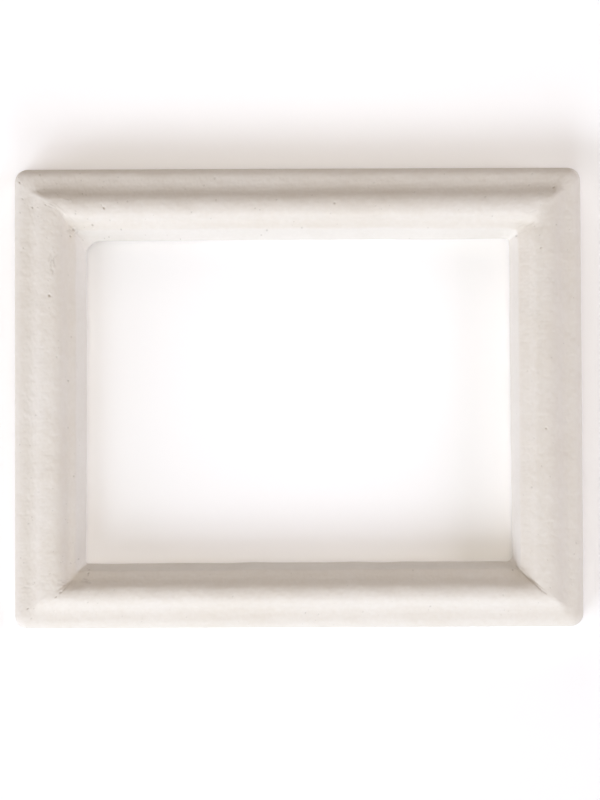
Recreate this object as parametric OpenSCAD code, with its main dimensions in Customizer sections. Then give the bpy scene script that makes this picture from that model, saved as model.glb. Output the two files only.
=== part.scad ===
// Cast plaster picture frame, landscape, with its fittings at the back.
// Everything is drawn in the casting frame: the frame lies on its back, x runs to the right,
// y runs up the picture and z comes out towards the viewer, from the back face at z = 0.
// upright() then stands it on its bottom edge, with its face towards -Y.

/* [Picture opening] */
// Width of the opening at the edge that holds the picture
sight_w = 194.5; // [150:0.5:300]
// Height of the opening at the edge that holds the picture
sight_h = 145.5; // [130:0.5:220]
// Width of the ledge that the picture rests on
rebate_lip = 5; // [4:0.25:6]
// Depth of the rebate behind that ledge
rebate_depth = 8; // [7:0.25:9.5]
// Corner radius of the rebate
rebate_corner_r = 3; // [1:0.25:5]

/* [Moulding] */
// Width of the moulding at the picture's edge
rail_w = 31.25; // [30:0.25:38]
// Thickness of the frame, from its back face to the crest
depth = 25; // [23:0.5:32]
// Radius of the outer corners, seen from the front
corner_r = 6; // [3:0.25:8]
// Radius between the outer side and the bead
edge_r = 2.1; // [1.5:0.1:3]
// Radius of the outer bead
bead_r = 7; // [6:0.25:8]
// Width of the plain band between the bead and the cove
band_w = 1.8; // [1:0.1:3]
// Radius of the hollow cove
cove_r = 9.6; // [8:0.2:10.6]
// Width of the short slope between the cove and the crest
rise_w = 0.5; // [0.3:0.1:1]
// Radius of the round crest
crest_r = 7.5; // [6.5:0.25:8]
// Width of the slope inside the crest
fall_w = 1.7; // [1:0.1:2.2]
// Radius of the faint hollow before the lip
hollow_r = 12; // [8:0.5:14]
// Radius of the lip
lip_r = 2; // [1:0.1:2.5]

/* [Turn buttons] */
// Thickness of a turn button
button_t = 1.2; // [1:0.1:1.5]
// Radius of a turn button round its screw
button_r = 4.5; // [4:0.1:5]
// Radius of a turn button's tip
button_tip_r = 3; // [2.5:0.1:3.5]
// Reach of a turn button from its screw to its tip
button_reach = 13; // [11:0.25:14]
// Distance of a turn button's screw from the edge of the rebate
button_setback = 7; // [6.5:0.25:8]
// Place of the upper and lower turn buttons, from the middle of the frame
button_x = 55; // [40:1:60]
// Room round a turn button in its pocket
pocket_room = 0.4; // [0.3:0.05:0.6]
// Corner radius of a pocket
pocket_corner_r = 3; // [2:0.25:4]
// Depth of a screw head below the back face
head_sink = 0.3; // [0.2:0.05:0.5]

/* [Hanger plates] */
// Width of a hanger plate
plate_w = 15; // [14:0.25:16]
// Length of a hanger plate
plate_len = 44; // [42:0.5:48]
// Thickness of a hanger plate
plate_t = 1.6; // [1.5:0.1:2]
// Corner radius of a hanger plate
plate_corner_r = 3; // [2:0.25:5]
// Distance of a plate's screws from its ends
plate_screw_end = 5; // [4.5:0.25:5.5]
// Height of a plate's middle above the bottom edge
plate_y = 148; // [142:1:150]
// Distance of a plate's middle from the outer side
plate_inset = 13; // [11:0.25:14]
// Radius of the hole that the wall screw's head goes through
entry_r = 4.25; // [3.75:0.05:4.5]
// Radius at the end of the slot that the wall screw rests in
slot_r = 2.25; // [1.75:0.05:2.75]
// Distance of the entry hole below the plate's middle
entry_drop = 4; // [3:0.25:5]
// Distance of the slot's end above the plate's middle
slot_rise = 6; // [5:0.25:7]
// Depth of the cavity behind a plate, from the back face
cavity_depth = 8; // [7:0.25:10]
// Room between a plate and its recess
plate_room = 0.3; // [0.2:0.05:0.4]

/* [Screws and plugs] */
// Radius of a screw's shank
shank_r = 1.5; // [1.35:0.05:1.75]
// Length of a screw's straight shank
shank_len = 10; // [8:0.5:12]
// Length of a screw's point
point_len = 2.5; // [1.5:0.25:3]
// Radius of a screw's head
head_r = 3.1; // [2.8:0.05:3.4]
// Height of a turn button's screw head
head_h = 1.5; // [1.2:0.1:1.8]
// Width of the cross slots in a screw head
cross_w = 0.7; // [0.5:0.05:0.9]
// Depth of the cross slots in a screw head
cross_depth = 0.9; // [0.6:0.05:1]
// Radius of a plug's body
plug_r = 3; // [2.75:0.05:3.5]
// Length of a plug
plug_len = 14; // [13:0.5:15]
// Radius of a plug's collar
collar_r = 4; // [3.75:0.05:4.25]
// Thickness of a plug's collar
collar_t = 1; // [0.8:0.1:1.5]
// Radius of the pilot hole in a plug
pilot_r = 1.1; // [0.9:0.05:1.2]
// Width of the split in a plug
split_w = 0.8; // [0.6:0.1:1]
// Running clearance of a turn button on its screw
running_clear = 0.05; // [0.03:0.01:0.09]
// Clearance between a plug and the plaster round it
plug_clear = 0.05; // [0.03:0.01:0.1]
// Play above and below a turn button
button_play = 0.1; // [0.05:0.05:0.15]

/* [Hidden] */
$fn = 64;

// Slopes of the moulding, measured from the back face
bead_side_angle = 52;
band_angle = 15;
rise_angle = 44.7;
fall_angle = 45;
lip_slope_angle = 39.5;
// Draft of the inner wall, measured from square
draft_angle = 21;
// Largest turn between two points of an arc
arc_step = 6;

// One overrun for every cut
overrun = 1;

outer_w = sight_w + 2 * rail_w;
outer_h = sight_h + 2 * rail_w;

// Outer half of the section, from the crest outwards
crest_u = (crest_r + cove_r) * sin(rise_angle) + rise_w + band_w
    - (cove_r + bead_r) * sin(band_angle) + (bead_r - edge_r) * sin(bead_side_angle) + edge_r;
crest_c = [crest_u, depth - crest_r];
rise_foot = crest_c + crest_r * [-sin(rise_angle), cos(rise_angle)] - rise_w * [1, tan(rise_angle)];
cove_c = rise_foot + cove_r * [-sin(rise_angle), cos(rise_angle)];
cove_end = cove_c + cove_r * [sin(band_angle), -cos(band_angle)];
band_end = cove_end - band_w * [1, tan(band_angle)];
bead_c = band_end + bead_r * [sin(band_angle), -cos(band_angle)];
bead_end = bead_c + bead_r * [-sin(bead_side_angle), cos(bead_side_angle)];
edge_c = bead_end + edge_r * [sin(bead_side_angle), -cos(bead_side_angle)];

// Inner half of the section, from the crest to the picture's edge
fall_foot = crest_c + crest_r * [sin(fall_angle), cos(fall_angle)] + fall_w * [1, -tan(fall_angle)];
hollow_c = fall_foot + hollow_r * [sin(fall_angle), cos(fall_angle)];
hollow_end = hollow_c - hollow_r * [sin(lip_slope_angle), cos(lip_slope_angle)];
lip_shift = lip_r * [cos(draft_angle) - sin(lip_slope_angle), sin(draft_angle) - cos(lip_slope_angle)];
// The slope before the lip takes what width is left
lip_slope_w = (rail_w - hollow_end.x - lip_shift.x
    - (hollow_end.y + lip_shift.y - rebate_depth) * tan(draft_angle))
    / (1 - tan(lip_slope_angle) * tan(draft_angle));
lip_start = hollow_end + lip_slope_w * [1, -tan(lip_slope_angle)];
lip_c = lip_start - lip_r * [sin(lip_slope_angle), cos(lip_slope_angle)];

// Turn buttons and their pockets
button_u = rail_w - rebate_lip - button_setback;
pocket_depth = 2 * button_play + button_t + head_h + head_sink;
pocket_half_len = button_reach + pocket_room;
button_floor_z = pocket_depth - button_play;
button_hole_r = shank_r + running_clear;

// The middle of the frame and the lines on which the buttons' screws stand
mid_y = outer_h / 2;
top_button_y = outer_h - button_u;
side_button_x = outer_w / 2 - button_u;
side_plate_x = outer_w / 2 - plate_inset;

// Each turn button's screw, and the direction that its tip points in at rest
TOP_LEFT = [[-button_x, top_button_y], 0];
TOP_RIGHT = [[button_x, top_button_y], 180];
BOTTOM_LEFT = [[-button_x, button_u], 0];
BOTTOM_RIGHT = [[button_x, button_u], 180];
MIDDLE_LEFT = [[-side_button_x, mid_y], -90];
MIDDLE_RIGHT = [[side_button_x, mid_y], -90];
BUTTONS = [TOP_LEFT, TOP_RIGHT, BOTTOM_LEFT, BOTTOM_RIGHT, MIDDLE_LEFT, MIDDLE_RIGHT];

// Hanger plates
plate_z = plate_room / 2;
cavity_w = 2 * entry_r + 2 * plate_room;
cavity_len = entry_drop + slot_rise + 2 * entry_r + 2 * plate_room;
cavity_y = (slot_rise - entry_drop) / 2;
plate_screw_y = plate_len / 2 - plate_screw_end;
csk_depth = plate_t - plate_room;

// Half length of a cross slot, as a share of the head's radius
cross_share = 0.62;
// Radius of the sphere that domes a screw head, as a share of the head's radius
dome_share = 1.7;
// Radius of a screw's blunt tip, as a share of its shank
point_share = 0.2;

// Stands the frame up from the casting frame, centred on its thickness
module upright() {
    translate([0, depth / 2, 0]) rotate([90, 0, 0]) children();
}

// Points along an arc, from one direction to another
function arc(centre, r, from, to) =
    let (steps = ceil(abs(to - from) / arc_step))
    [for (i = [0:steps]) let (a = from + (to - from) * i / steps) centre + r * [cos(a), sin(a)]];

// Outline of a rectangle with rounded corners, centred on x and y
function rounded_outline(w, h, r) =
    let (x = w / 2 - r, y = h / 2 - r)
    concat(arc([x, y], r, 0, 90), arc([-x, y], r, 90, 180),
        arc([-x, -y], r, 180, 270), arc([x, -y], r, 270, 360));

// Section of the moulding: distance in from the outer side along x, height above the back along y
module moulding_section() {
    polygon(concat(
        [[0, 0]],
        arc(edge_c, edge_r, 180, 90 + bead_side_angle),
        arc(bead_c, bead_r, 90 + bead_side_angle, 90 + band_angle),
        arc(cove_c, cove_r, band_angle - 90, rise_angle - 90),
        arc(crest_c, crest_r, 90 + rise_angle, 90),
        arc(crest_c, crest_r, 90, 90 - fall_angle),
        arc(hollow_c, hollow_r, 270 - fall_angle, 270 - lip_slope_angle),
        arc(lip_c, lip_r, 90 - lip_slope_angle, draft_angle),
        [[rail_w, rebate_depth], [rail_w, 0]]
    ));
}

// One length of moulding along x, mitred at both ends inside the rounded corners
module rail(length) {
    intersection() {
        rotate([90, 0, 90]) linear_extrude(length) moulding_section();
        linear_extrude(depth) polygon([
            [corner_r, 0], [length - corner_r, 0], [length - corner_r, corner_r],
            [length - rail_w, rail_w], [rail_w, rail_w], [corner_r, corner_r]
        ]);
    }
}

// The outermost band of the section turned round a corner's centre
module rounded_corner() {
    rotate_extrude(angle = 90) intersection() {
        translate([corner_r, 0]) mirror([1, 0]) moulding_section();
        square([corner_r, depth]);
    }
}

// The moulding on all four sides
module moulding() {
    for (turn = [0, 180]) {
        translate([0, mid_y, 0]) rotate([0, 0, turn]) {
            translate([-outer_w / 2, -mid_y, 0]) rail(outer_w);
            translate([corner_r - outer_w / 2, corner_r - mid_y, 0])
                rotate([0, 0, 180]) rounded_corner();
        }
        translate([0, mid_y, 0]) rotate([0, 0, turn + 90]) {
            translate([-mid_y, -outer_w / 2, 0]) rail(outer_h);
            translate([corner_r - mid_y, corner_r - outer_w / 2, 0])
                rotate([0, 0, 180]) rounded_corner();
        }
    }
}

// A flat plate with rounded corners, centred on x and y
module rounded_plate(w, h, r, t) {
    linear_extrude(t) polygon(rounded_outline(w, h, r));
}

// The space behind the ledge, open to the back
module rebate() {
    translate([0, mid_y, -overrun])
        rounded_plate(sight_w + 2 * rebate_lip, sight_h + 2 * rebate_lip, rebate_corner_r,
            rebate_depth + overrun);
}

// Pocket in which a turn button lies and turns, with the rebate towards +y
module button_pocket() {
    back_y = button_r + pocket_room;
    h = back_y + button_setback + pocket_corner_r;
    translate([0, h / 2 - back_y, -overrun])
        rounded_plate(2 * pocket_half_len, h, pocket_corner_r, pocket_depth + overrun);
}

// Socket in the plaster for one plug, from the mouth at z = 0 towards the face
module plug_socket() {
    translate([0, 0, -overrun]) cylinder(r = collar_r + plug_clear, h = collar_t + overrun);
    cylinder(r = plug_r + plug_clear, h = plug_len + plug_clear);
}

// Recess for one hanger plate, the cavity behind its keyhole and its plug sockets
module hanger_recess() {
    translate([0, 0, -overrun]) rounded_plate(plate_w + 2 * plate_room, plate_len + 2 * plate_room,
        plate_corner_r + plate_room, plate_t + plate_room + overrun);
    translate([0, cavity_y, 0])
        rounded_plate(cavity_w, cavity_len, cavity_w / 2, cavity_depth);
    at_plate_screws() translate([0, 0, plate_z + plate_t]) plug_socket();
}

// Puts its children at the two screws of a hanger plate
module at_plate_screws() {
    for (side = [-1, 1]) {
        translate([0, side * plate_screw_y, 0]) children();
    }
}

// Puts its children at each turn button's pocket, turned so that the rebate is towards +y
module at_pockets() {
    translate([0, mid_y, 0]) {
        for (x = [-button_x, button_x], turn = [0, 180]) {
            rotate([0, 0, turn]) translate([x, button_u - mid_y, 0]) children();
        }
        for (turn = [90, -90]) {
            rotate([0, 0, turn]) translate([0, -side_button_x, 0]) children();
        }
    }
}

// Puts its children at the screw of each turn button
module at_button_screws() {
    for (button = BUTTONS) {
        translate(button[0]) children();
    }
}

// Puts its children at the middle of each hanger plate
module at_plates() {
    for (side = [-1, 1]) {
        translate([side * side_plate_x, plate_y, 0]) children();
    }
}

// A cross recess in a screw head whose top is at z = 0, the driver coming from below
module cross_recess() {
    for (turn = [0, 90]) {
        rotate([0, 0, turn]) translate([-head_r * cross_share, -cross_w / 2, -overrun])
            cube([2 * head_r * cross_share, cross_w, cross_depth + overrun]);
    }
}

// Screw with a domed head, head outwards at z = 0, shank towards +z
module domed_screw(head_to_plug) {
    dome_r = head_r * dome_share;
    difference() {
        union() {
            intersection() {
                cylinder(r = head_r, h = head_h);
                translate([0, 0, dome_r]) sphere(dome_r);
            }
            translate([0, 0, head_h]) screw_shank(head_to_plug + shank_len);
        }
        cross_recess();
    }
}

// Screw with a countersunk head, head outwards at z = 0, shank towards +z
module countersunk_screw(head_to_plug) {
    difference() {
        union() {
            cylinder(r1 = head_r, r2 = shank_r, h = csk_depth);
            translate([0, 0, csk_depth]) screw_shank(head_to_plug + shank_len);
        }
        cross_recess();
    }
}

// Straight shank with a point, towards +z
module screw_shank(length) {
    cylinder(r = shank_r, h = length);
    translate([0, 0, length]) cylinder(r1 = shank_r, r2 = shank_r * point_share, h = point_len);
}

// Split plastic plug with a collar, mouth at z = 0, body towards +z
module plug() {
    difference() {
        union() {
            cylinder(r = collar_r, h = collar_t);
            cylinder(r = plug_r, h = plug_len);
        }
        translate([0, 0, -overrun]) cylinder(r = pilot_r, h = plug_len + 2 * overrun);
        translate([-plug_r - overrun, -split_w / 2, plug_len / 2])
            cube([2 * (plug_r + overrun), split_w, plug_len]);
    }
}

// Outline of a turn button: a round end at the screw and a smaller round tip, joined by tangents
module button_outline() {
    tip_x = button_reach - button_tip_r;
    lean = acos((button_r - button_tip_r) / tip_x);
    polygon(concat(arc([0, 0], button_r, lean, 360 - lean), arc([tip_x, 0], button_tip_r, -lean, lean)));
}

// One turn button, lying along its rail
module turn_button(place) {
    color("goldenrod") upright() translate([place[0].x, place[0].y, button_floor_z - button_t])
        rotate([0, 0, place[1]]) linear_extrude(button_t) difference() {
            button_outline();
            circle(button_hole_r);
        }
}

module plaster_casting() {
    color("linen") upright() difference() {
        moulding();
        rebate();
        at_pockets() button_pocket();
        at_button_screws() translate([0, 0, pocket_depth]) plug_socket();
        at_plates() hanger_recess();
    }
}

module button_screws() {
    color("gold") upright() at_button_screws() translate([0, 0, head_sink])
        domed_screw(button_t + 2 * button_play);
}

module button_plugs() {
    color("whitesmoke") upright() at_button_screws() translate([0, 0, pocket_depth]) plug();
}

// Steel plate with a keyhole for the wall screw and two countersunk screw holes
module hanger_plate(side) {
    color("silver") upright() translate([side * side_plate_x, plate_y, plate_z]) difference() {
        rounded_plate(plate_w, plate_len, plate_corner_r, plate_t);
        translate([0, -entry_drop, -overrun]) cylinder(r = entry_r, h = plate_t + 2 * overrun);
        translate([0, slot_rise, -overrun]) cylinder(r = slot_r, h = plate_t + 2 * overrun);
        translate([-slot_r, -entry_drop, -overrun])
            cube([2 * slot_r, entry_drop + slot_rise, plate_t + 2 * overrun]);
        at_plate_screws() {
            cylinder(r1 = head_r + running_clear, r2 = shank_r + running_clear, h = csk_depth);
            cylinder(r = shank_r + running_clear, h = plate_t + overrun);
        }
    }
}

module hanger_screws() {
    color("gainsboro") upright() at_plates() at_plate_screws() translate([0, 0, plate_z])
        countersunk_screw(plate_t - csk_depth);
}

module hanger_plugs() {
    color("whitesmoke") upright() at_plates() at_plate_screws()
        translate([0, 0, plate_z + plate_t]) plug();
}

plaster_casting();
turn_button(TOP_LEFT);  // turn_button_top_left
turn_button(TOP_RIGHT);  // turn_button_top_right
turn_button(BOTTOM_LEFT);  // turn_button_bottom_left
turn_button(BOTTOM_RIGHT);  // turn_button_bottom_right
turn_button(MIDDLE_LEFT);  // turn_button_left
turn_button(MIDDLE_RIGHT);  // turn_button_right
button_screws();
button_plugs();
hanger_plate(-1);  // hanger_plate_left
hanger_plate(1);  // hanger_plate_right
hanger_screws();
hanger_plugs();
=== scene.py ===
"""Looks of a cast plaster picture frame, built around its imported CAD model.

Lengths inside the classes are millimetres, in the frame that the CAD uses: x to the right,
z up the picture, and y from the viewer (-) to the wall (+). Meshes are written in metres.
Height above the back face is called w, and distance in from the outer side is called u.
"""

import logging
import math
from dataclasses import dataclass, field
from enum import Enum

import bmesh
import bpy
import numpy as np
from mathutils import Matrix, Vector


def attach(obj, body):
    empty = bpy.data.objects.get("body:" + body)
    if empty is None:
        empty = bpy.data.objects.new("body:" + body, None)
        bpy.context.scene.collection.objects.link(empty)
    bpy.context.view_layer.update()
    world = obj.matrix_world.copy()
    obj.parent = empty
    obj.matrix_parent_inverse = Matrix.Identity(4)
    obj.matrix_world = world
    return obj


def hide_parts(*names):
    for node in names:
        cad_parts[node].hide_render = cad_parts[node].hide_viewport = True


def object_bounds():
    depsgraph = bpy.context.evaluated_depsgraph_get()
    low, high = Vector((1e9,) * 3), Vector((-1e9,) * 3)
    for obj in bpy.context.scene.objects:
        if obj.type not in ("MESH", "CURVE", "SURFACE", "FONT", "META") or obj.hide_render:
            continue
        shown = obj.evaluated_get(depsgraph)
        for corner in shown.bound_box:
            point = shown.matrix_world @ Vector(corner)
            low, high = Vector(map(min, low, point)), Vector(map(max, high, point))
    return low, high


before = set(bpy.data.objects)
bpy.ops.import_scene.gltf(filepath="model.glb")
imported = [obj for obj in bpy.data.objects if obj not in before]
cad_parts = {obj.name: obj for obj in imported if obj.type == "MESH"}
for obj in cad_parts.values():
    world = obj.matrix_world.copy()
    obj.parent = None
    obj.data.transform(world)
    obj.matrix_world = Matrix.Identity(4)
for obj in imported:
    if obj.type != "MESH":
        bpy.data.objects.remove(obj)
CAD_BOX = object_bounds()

Array = np.ndarray
Piece = bpy.types.Object
Socket = bpy.types.NodeSocket
Colour = tuple[float, float, float]
Pair = tuple[float, float]

LOG = logging.getLogger("plaster_frame")
MM = 0.001
FRAME_BODY = "frame"
CASTING_NODE = "plaster_casting"
MERGE_DISTANCE = 2e-6
FLAT_ANGLE = math.radians(0.5)
SHARP_ANGLE = math.radians(35.0)
BEVEL_ANGLE = math.radians(40.0)
BELL_END = 50.0
TOUCHING = 1e-6


# Curves and random fields


def smooth_ramp(value: Array, low: float, high: float) -> Array:
    """Rises smoothly from 0 at low to 1 at high, as 3t^2 - 2t^3."""
    t = np.clip((value - low) / (high - low), 0.0, 1.0)
    return t * t * (3.0 - 2.0 * t)


def line_points(start: Array, end: Array, spacing: float) -> Array:
    """Evenly spaced points from start to end, no further apart than spacing.

    Args:
        start: first point.
        end: last point.
        spacing: largest distance between two points.

    Returns:
        An array of points, one a row, with both ends.
    """
    steps = max(1, math.ceil(float(np.linalg.norm(end - start)) / spacing))
    share = np.linspace(0.0, 1.0, steps + 1)[:, None]
    return start + share * (end - start)


def arc_points(centre: Array, radius: float, start: float, end: float, spacing: float) -> Array:
    """Points on an arc: centre + radius (cos a, sin a), with a from start to end in degrees.

    Args:
        centre: centre of the arc.
        radius: its radius.
        start: angle of the first point, in degrees.
        end: angle of the last point, in degrees.
        spacing: largest distance between two points along the arc.

    Returns:
        An array of points, one a row.
    """
    length = radius * math.radians(abs(end - start))
    angle = np.radians(np.linspace(start, end, max(2, math.ceil(length / spacing)) + 1))
    return centre + radius * np.stack([np.cos(angle), np.sin(angle)], axis=-1)


def direction(degrees: float) -> Array:
    """Unit vector at an angle, in degrees."""
    return np.array([math.cos(math.radians(degrees)), math.sin(math.radians(degrees))])


@dataclass(frozen=True)
class RandomWaves:
    """A smooth random field: the mean of many plane sine waves with random directions and phases."""

    seed: int
    shortest: float
    longest: float
    amplitude: float
    count: int = 28

    def __call__(self, x: Array, z: Array) -> Array:
        """Value of the field at each point; nearly all of it lies within twice the amplitude.

        Args:
            x: first coordinates, in millimetres.
            z: second coordinates, in millimetres.

        Returns:
            The field, shaped like x.
        """
        rng = np.random.default_rng(self.seed)
        turn = rng.uniform(0.0, math.tau, self.count)
        phase = rng.uniform(0.0, math.tau, self.count)
        length = np.exp(rng.uniform(math.log(self.shortest), math.log(self.longest), self.count))
        total = np.zeros(np.broadcast(x, z).shape)
        for a, p, wave in zip(turn, phase, length):
            total += np.sin(math.tau / wave * (x * math.cos(a) + z * math.sin(a)) + p)
        return self.amplitude * total / math.sqrt(self.count)


# Meshes


def linked(name: str, data: bpy.types.ID) -> Piece:
    """A new object in the scene that shows a mesh, a lamp or a camera.

    Args:
        name: name of the object.
        data: the mesh, lamp or camera.

    Returns:
        The new object.
    """
    made = bpy.data.objects.new(name, data)
    bpy.context.scene.collection.objects.link(made)
    return made


def new_object(name: str, vertices: Array, *faces: Array) -> Piece:
    """Puts vertices in millimetres and faces into a new smooth-shaded object at the origin.

    Args:
        name: name of the object and its mesh.
        vertices: one vertex a row.
        faces: arrays of faces, one face a row; all faces of an array have as many corners.

    Returns:
        The new object, linked to the scene.
    """
    mesh = bpy.data.meshes.new(name)
    mesh.vertices.add(len(vertices))
    mesh.vertices.foreach_set("co", (vertices * MM).astype(np.float32).ravel())
    corners = np.concatenate([group.ravel() for group in faces]).astype(np.int32)
    sizes = np.concatenate([np.full(len(group), group.shape[1], dtype=np.int32) for group in faces])
    mesh.loops.add(len(corners))
    mesh.loops.foreach_set("vertex_index", corners)
    mesh.polygons.add(len(sizes))
    mesh.polygons.foreach_set("loop_start", (np.cumsum(sizes) - sizes).astype(np.int32))
    mesh.polygons.foreach_set("loop_total", sizes)
    mesh.update(calc_edges=True)
    mesh.validate()
    mesh.shade_smooth()
    return linked(name, mesh)


def grid_faces(rows: int, columns: int, wrap_columns: bool = False, flip: bool = False) -> Array:
    """Four-cornered faces between neighbouring rows and columns of a grid of points.

    Args:
        rows: number of rows.
        columns: number of columns.
        wrap_columns: joins the last column to the first.
        flip: turns the faces over.

    Returns:
        An array of faces, four vertex numbers a row.
    """
    number = np.arange(rows * columns).reshape(rows, columns)
    if wrap_columns:
        number = np.concatenate([number, number[:, :1]], axis=1)
    low, high = number[:-1], number[1:]
    faces = np.stack([low[:, :-1], low[:, 1:], high[:, 1:], high[:, :-1]], axis=-1).reshape(-1, 4)
    return faces[:, ::-1] if flip else faces


def placed(points: Array, angle: float, x: float, y: float, z: float) -> Array:
    """Points turned round the y axis and then moved.

    Args:
        points: array (..., 3) of x, y, z.
        angle: turn in radians, from x towards z.
        x: move across.
        y: move towards the wall.
        z: move up.

    Returns:
        The new points, shaped like the old ones.
    """
    c, s = math.cos(angle), math.sin(angle)
    across, away, up = points[..., 0], points[..., 1], points[..., 2]
    return np.stack([x + across * c - up * s, y + away, z + across * s + up * c], axis=-1)


def merged_copy(node: str) -> bmesh.types.BMesh:
    """Copy of a CAD node's mesh in which corners that coincide are one vertex.

    Args:
        node: name of the CAD node.

    Returns:
        The copy, as a mesh being edited.
    """
    work = bmesh.new()
    work.from_mesh(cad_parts[node].data)
    bmesh.ops.remove_doubles(work, verts=work.verts, dist=MERGE_DISTANCE)
    return work


def softened_object(work: bmesh.types.BMesh, name: str, width: float) -> Piece:
    """Turns a mesh being edited into an object whose edges are bevelled.

    Args:
        work: the mesh, which is freed.
        name: name of the object and its mesh.
        width: width of the bevel in millimetres.

    Returns:
        The new object, linked to the scene.
    """
    bmesh.ops.dissolve_limit(
        work, angle_limit=FLAT_ANGLE, verts=work.verts, edges=work.edges, delimit=set()
    )
    mesh = bpy.data.meshes.new(name)
    work.to_mesh(mesh)
    work.free()
    mesh.shade_smooth()
    mesh.set_sharp_from_angle(angle=SHARP_ANGLE)
    made = linked(name, mesh)
    bevel = made.modifiers.new("softened_edges", "BEVEL")
    bevel.width = width * MM
    bevel.segments = 2
    bevel.limit_method = "ANGLE"
    bevel.angle_limit = BEVEL_ANGLE
    return made


# The moulding's section


@dataclass(frozen=True)
class Moulding:
    """Section of the moulding: arcs and slopes that touch each other, as in the CAD part."""

    rail_width: float = 31.25
    depth: float = 25.0
    corner_radius: float = 6.0
    edge_radius: float = 2.1
    bead_radius: float = 7.0
    band_width: float = 1.8
    cove_radius: float = 9.6
    rise_width: float = 0.5
    crest_radius: float = 7.5
    fall_width: float = 1.7
    hollow_radius: float = 12.0
    lip_radius: float = 1.4
    rebate_depth: float = 8.0
    rebate_lip: float = 5.0
    rebate_corner_radius: float = 3.0
    bead_side_angle: float = 52.0
    band_angle: float = 15.0
    rise_angle: float = 44.7
    fall_angle: float = 45.0
    lip_slope_angle: float = 39.5
    draft_angle: float = 21.0
    back_edge_radius: float = 0.5
    sight_edge_radius: float = 0.45
    tuck: float = 0.4
    back_tuck: float = 2.4
    back_sink: float = 0.05
    fine: float = 0.4
    wall_spacing: float = 0.56
    coarse: float = 1.2

    @staticmethod
    def slope(width: float, angle: float) -> Array:
        """Step along a slope that rises at an angle, over a width."""
        return width * np.array([1.0, math.tan(math.radians(angle))])

    def outer_half(self) -> list[Array]:
        """Stretches of the section from behind the back edge up to the top of the crest.

        Each arc's centre lies on the line through its neighbour's centre and their meeting
        point, so all of them touch without a corner.

        Returns:
            One array of (u, w) points for each stretch.
        """
        edge, bead, cove, crest = self.edge_radius, self.bead_radius, self.cove_radius, self.crest_radius
        side, band, rise = self.bead_side_angle, self.band_angle, self.rise_angle
        crest_u = (
            (crest + cove) * math.sin(math.radians(rise))
            + self.rise_width
            + self.band_width
            - (cove + bead) * math.sin(math.radians(band))
            + (bead - edge) * math.sin(math.radians(side))
            + edge
        )
        crest_c = np.array([crest_u, self.depth - crest])
        rise_foot = crest_c + crest * direction(90 + rise) - self.slope(self.rise_width, rise)
        cove_c = rise_foot + cove * direction(90 + rise)
        cove_end = cove_c + cove * direction(band - 90)
        band_end = cove_end - self.slope(self.band_width, band)
        bead_c = band_end + bead * direction(band - 90)
        edge_c = bead_c + (bead - edge) * direction(90 + side)
        back = self.back_edge_radius
        # The first point lies just under the back face, so that no crack shows at its outer edge
        start = np.array([back + self.back_tuck, self.back_sink])
        return [
            start[None],
            arc_points(np.array([back, back]), back, 270, 180, self.fine / 2),
            line_points(np.array([0.0, back]), np.array([0.0, edge_c[1]]), self.coarse),
            arc_points(edge_c, edge, 180, 90 + side, self.fine),
            arc_points(bead_c, bead, 90 + side, 90 + band, self.fine),
            line_points(band_end, cove_end, self.fine),
            arc_points(cove_c, cove, band - 90, rise - 90, self.fine),
            arc_points(crest_c, crest, 90 + rise, 90, self.fine),
        ]

    def inner_half(self) -> list[Array]:
        """Stretches of the section from the top of the crest down to behind the ledge.

        Returns:
            One array of (u, w) points for each stretch.
        """
        outer = self.outer_half()[-1][-1]
        crest_c = outer - np.array([0.0, self.crest_radius])
        fall, lip, draft = self.fall_angle, self.lip_slope_angle, self.draft_angle
        fall_start = crest_c + self.crest_radius * direction(90 - fall)
        fall_foot = fall_start + self.slope(self.fall_width, -fall)
        hollow_c = fall_foot + self.hollow_radius * direction(90 - fall)
        hollow_end = hollow_c + self.hollow_radius * direction(270 - lip)
        shift = self.lip_radius * (direction(draft) - direction(90 - lip))
        tan_draft = math.tan(math.radians(draft))
        tan_lip = math.tan(math.radians(lip))
        room = self.rail_width - hollow_end[0] - shift[0]
        fallen = (hollow_end[1] + shift[1] - self.rebate_depth) * tan_draft
        lip_slope_width = (room - fallen) / (1.0 - tan_lip * tan_draft)
        lip_start = hollow_end + self.slope(lip_slope_width, -lip)
        lip_c = lip_start - self.lip_radius * direction(90 - lip)
        lip_end = lip_c + self.lip_radius * direction(draft)
        sight = np.array([self.rail_width, self.rebate_depth])
        # The sight edge is rounded by an arc that touches the inner wall and the ledge
        radius = self.sight_edge_radius
        cut = radius * math.tan(math.radians((90.0 + draft) / 2.0))
        sight_c = sight + np.array([-cut, radius])
        ledge_end = np.array([self.rail_width - self.rebate_lip - self.tuck, self.rebate_depth])
        return [
            arc_points(crest_c, self.crest_radius, 90, 90 - fall, self.fine),
            line_points(fall_start, fall_foot, self.fine),
            arc_points(hollow_c, self.hollow_radius, 270 - fall, 270 - lip, self.fine),
            line_points(hollow_end, lip_start, self.fine),
            arc_points(lip_c, self.lip_radius, 90 - lip, draft, self.fine / 2),
            line_points(lip_end, sight_c + radius * direction(draft), self.wall_spacing),
            arc_points(sight_c, radius, draft, -90, self.fine / 2),
            line_points(sight_c - np.array([0.0, radius]), ledge_end, self.coarse),
        ]

    def section(self) -> Array:
        """The whole visible section, with doubled joints left out.

        Returns:
            Array (rows, 2) of u and w.
        """
        points = np.concatenate(self.outer_half() + self.inner_half())
        step = np.linalg.norm(np.diff(points, axis=0), axis=1)
        return points[np.concatenate([[True], step > TOUCHING])]

    def lip_height(self) -> float:
        """Height above the back at which the inner wall starts, below the lip."""
        lip_arc = self.inner_half()[4]
        return float(lip_arc[-1, 1])


# What the hand and the mould left on the plaster


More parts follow.
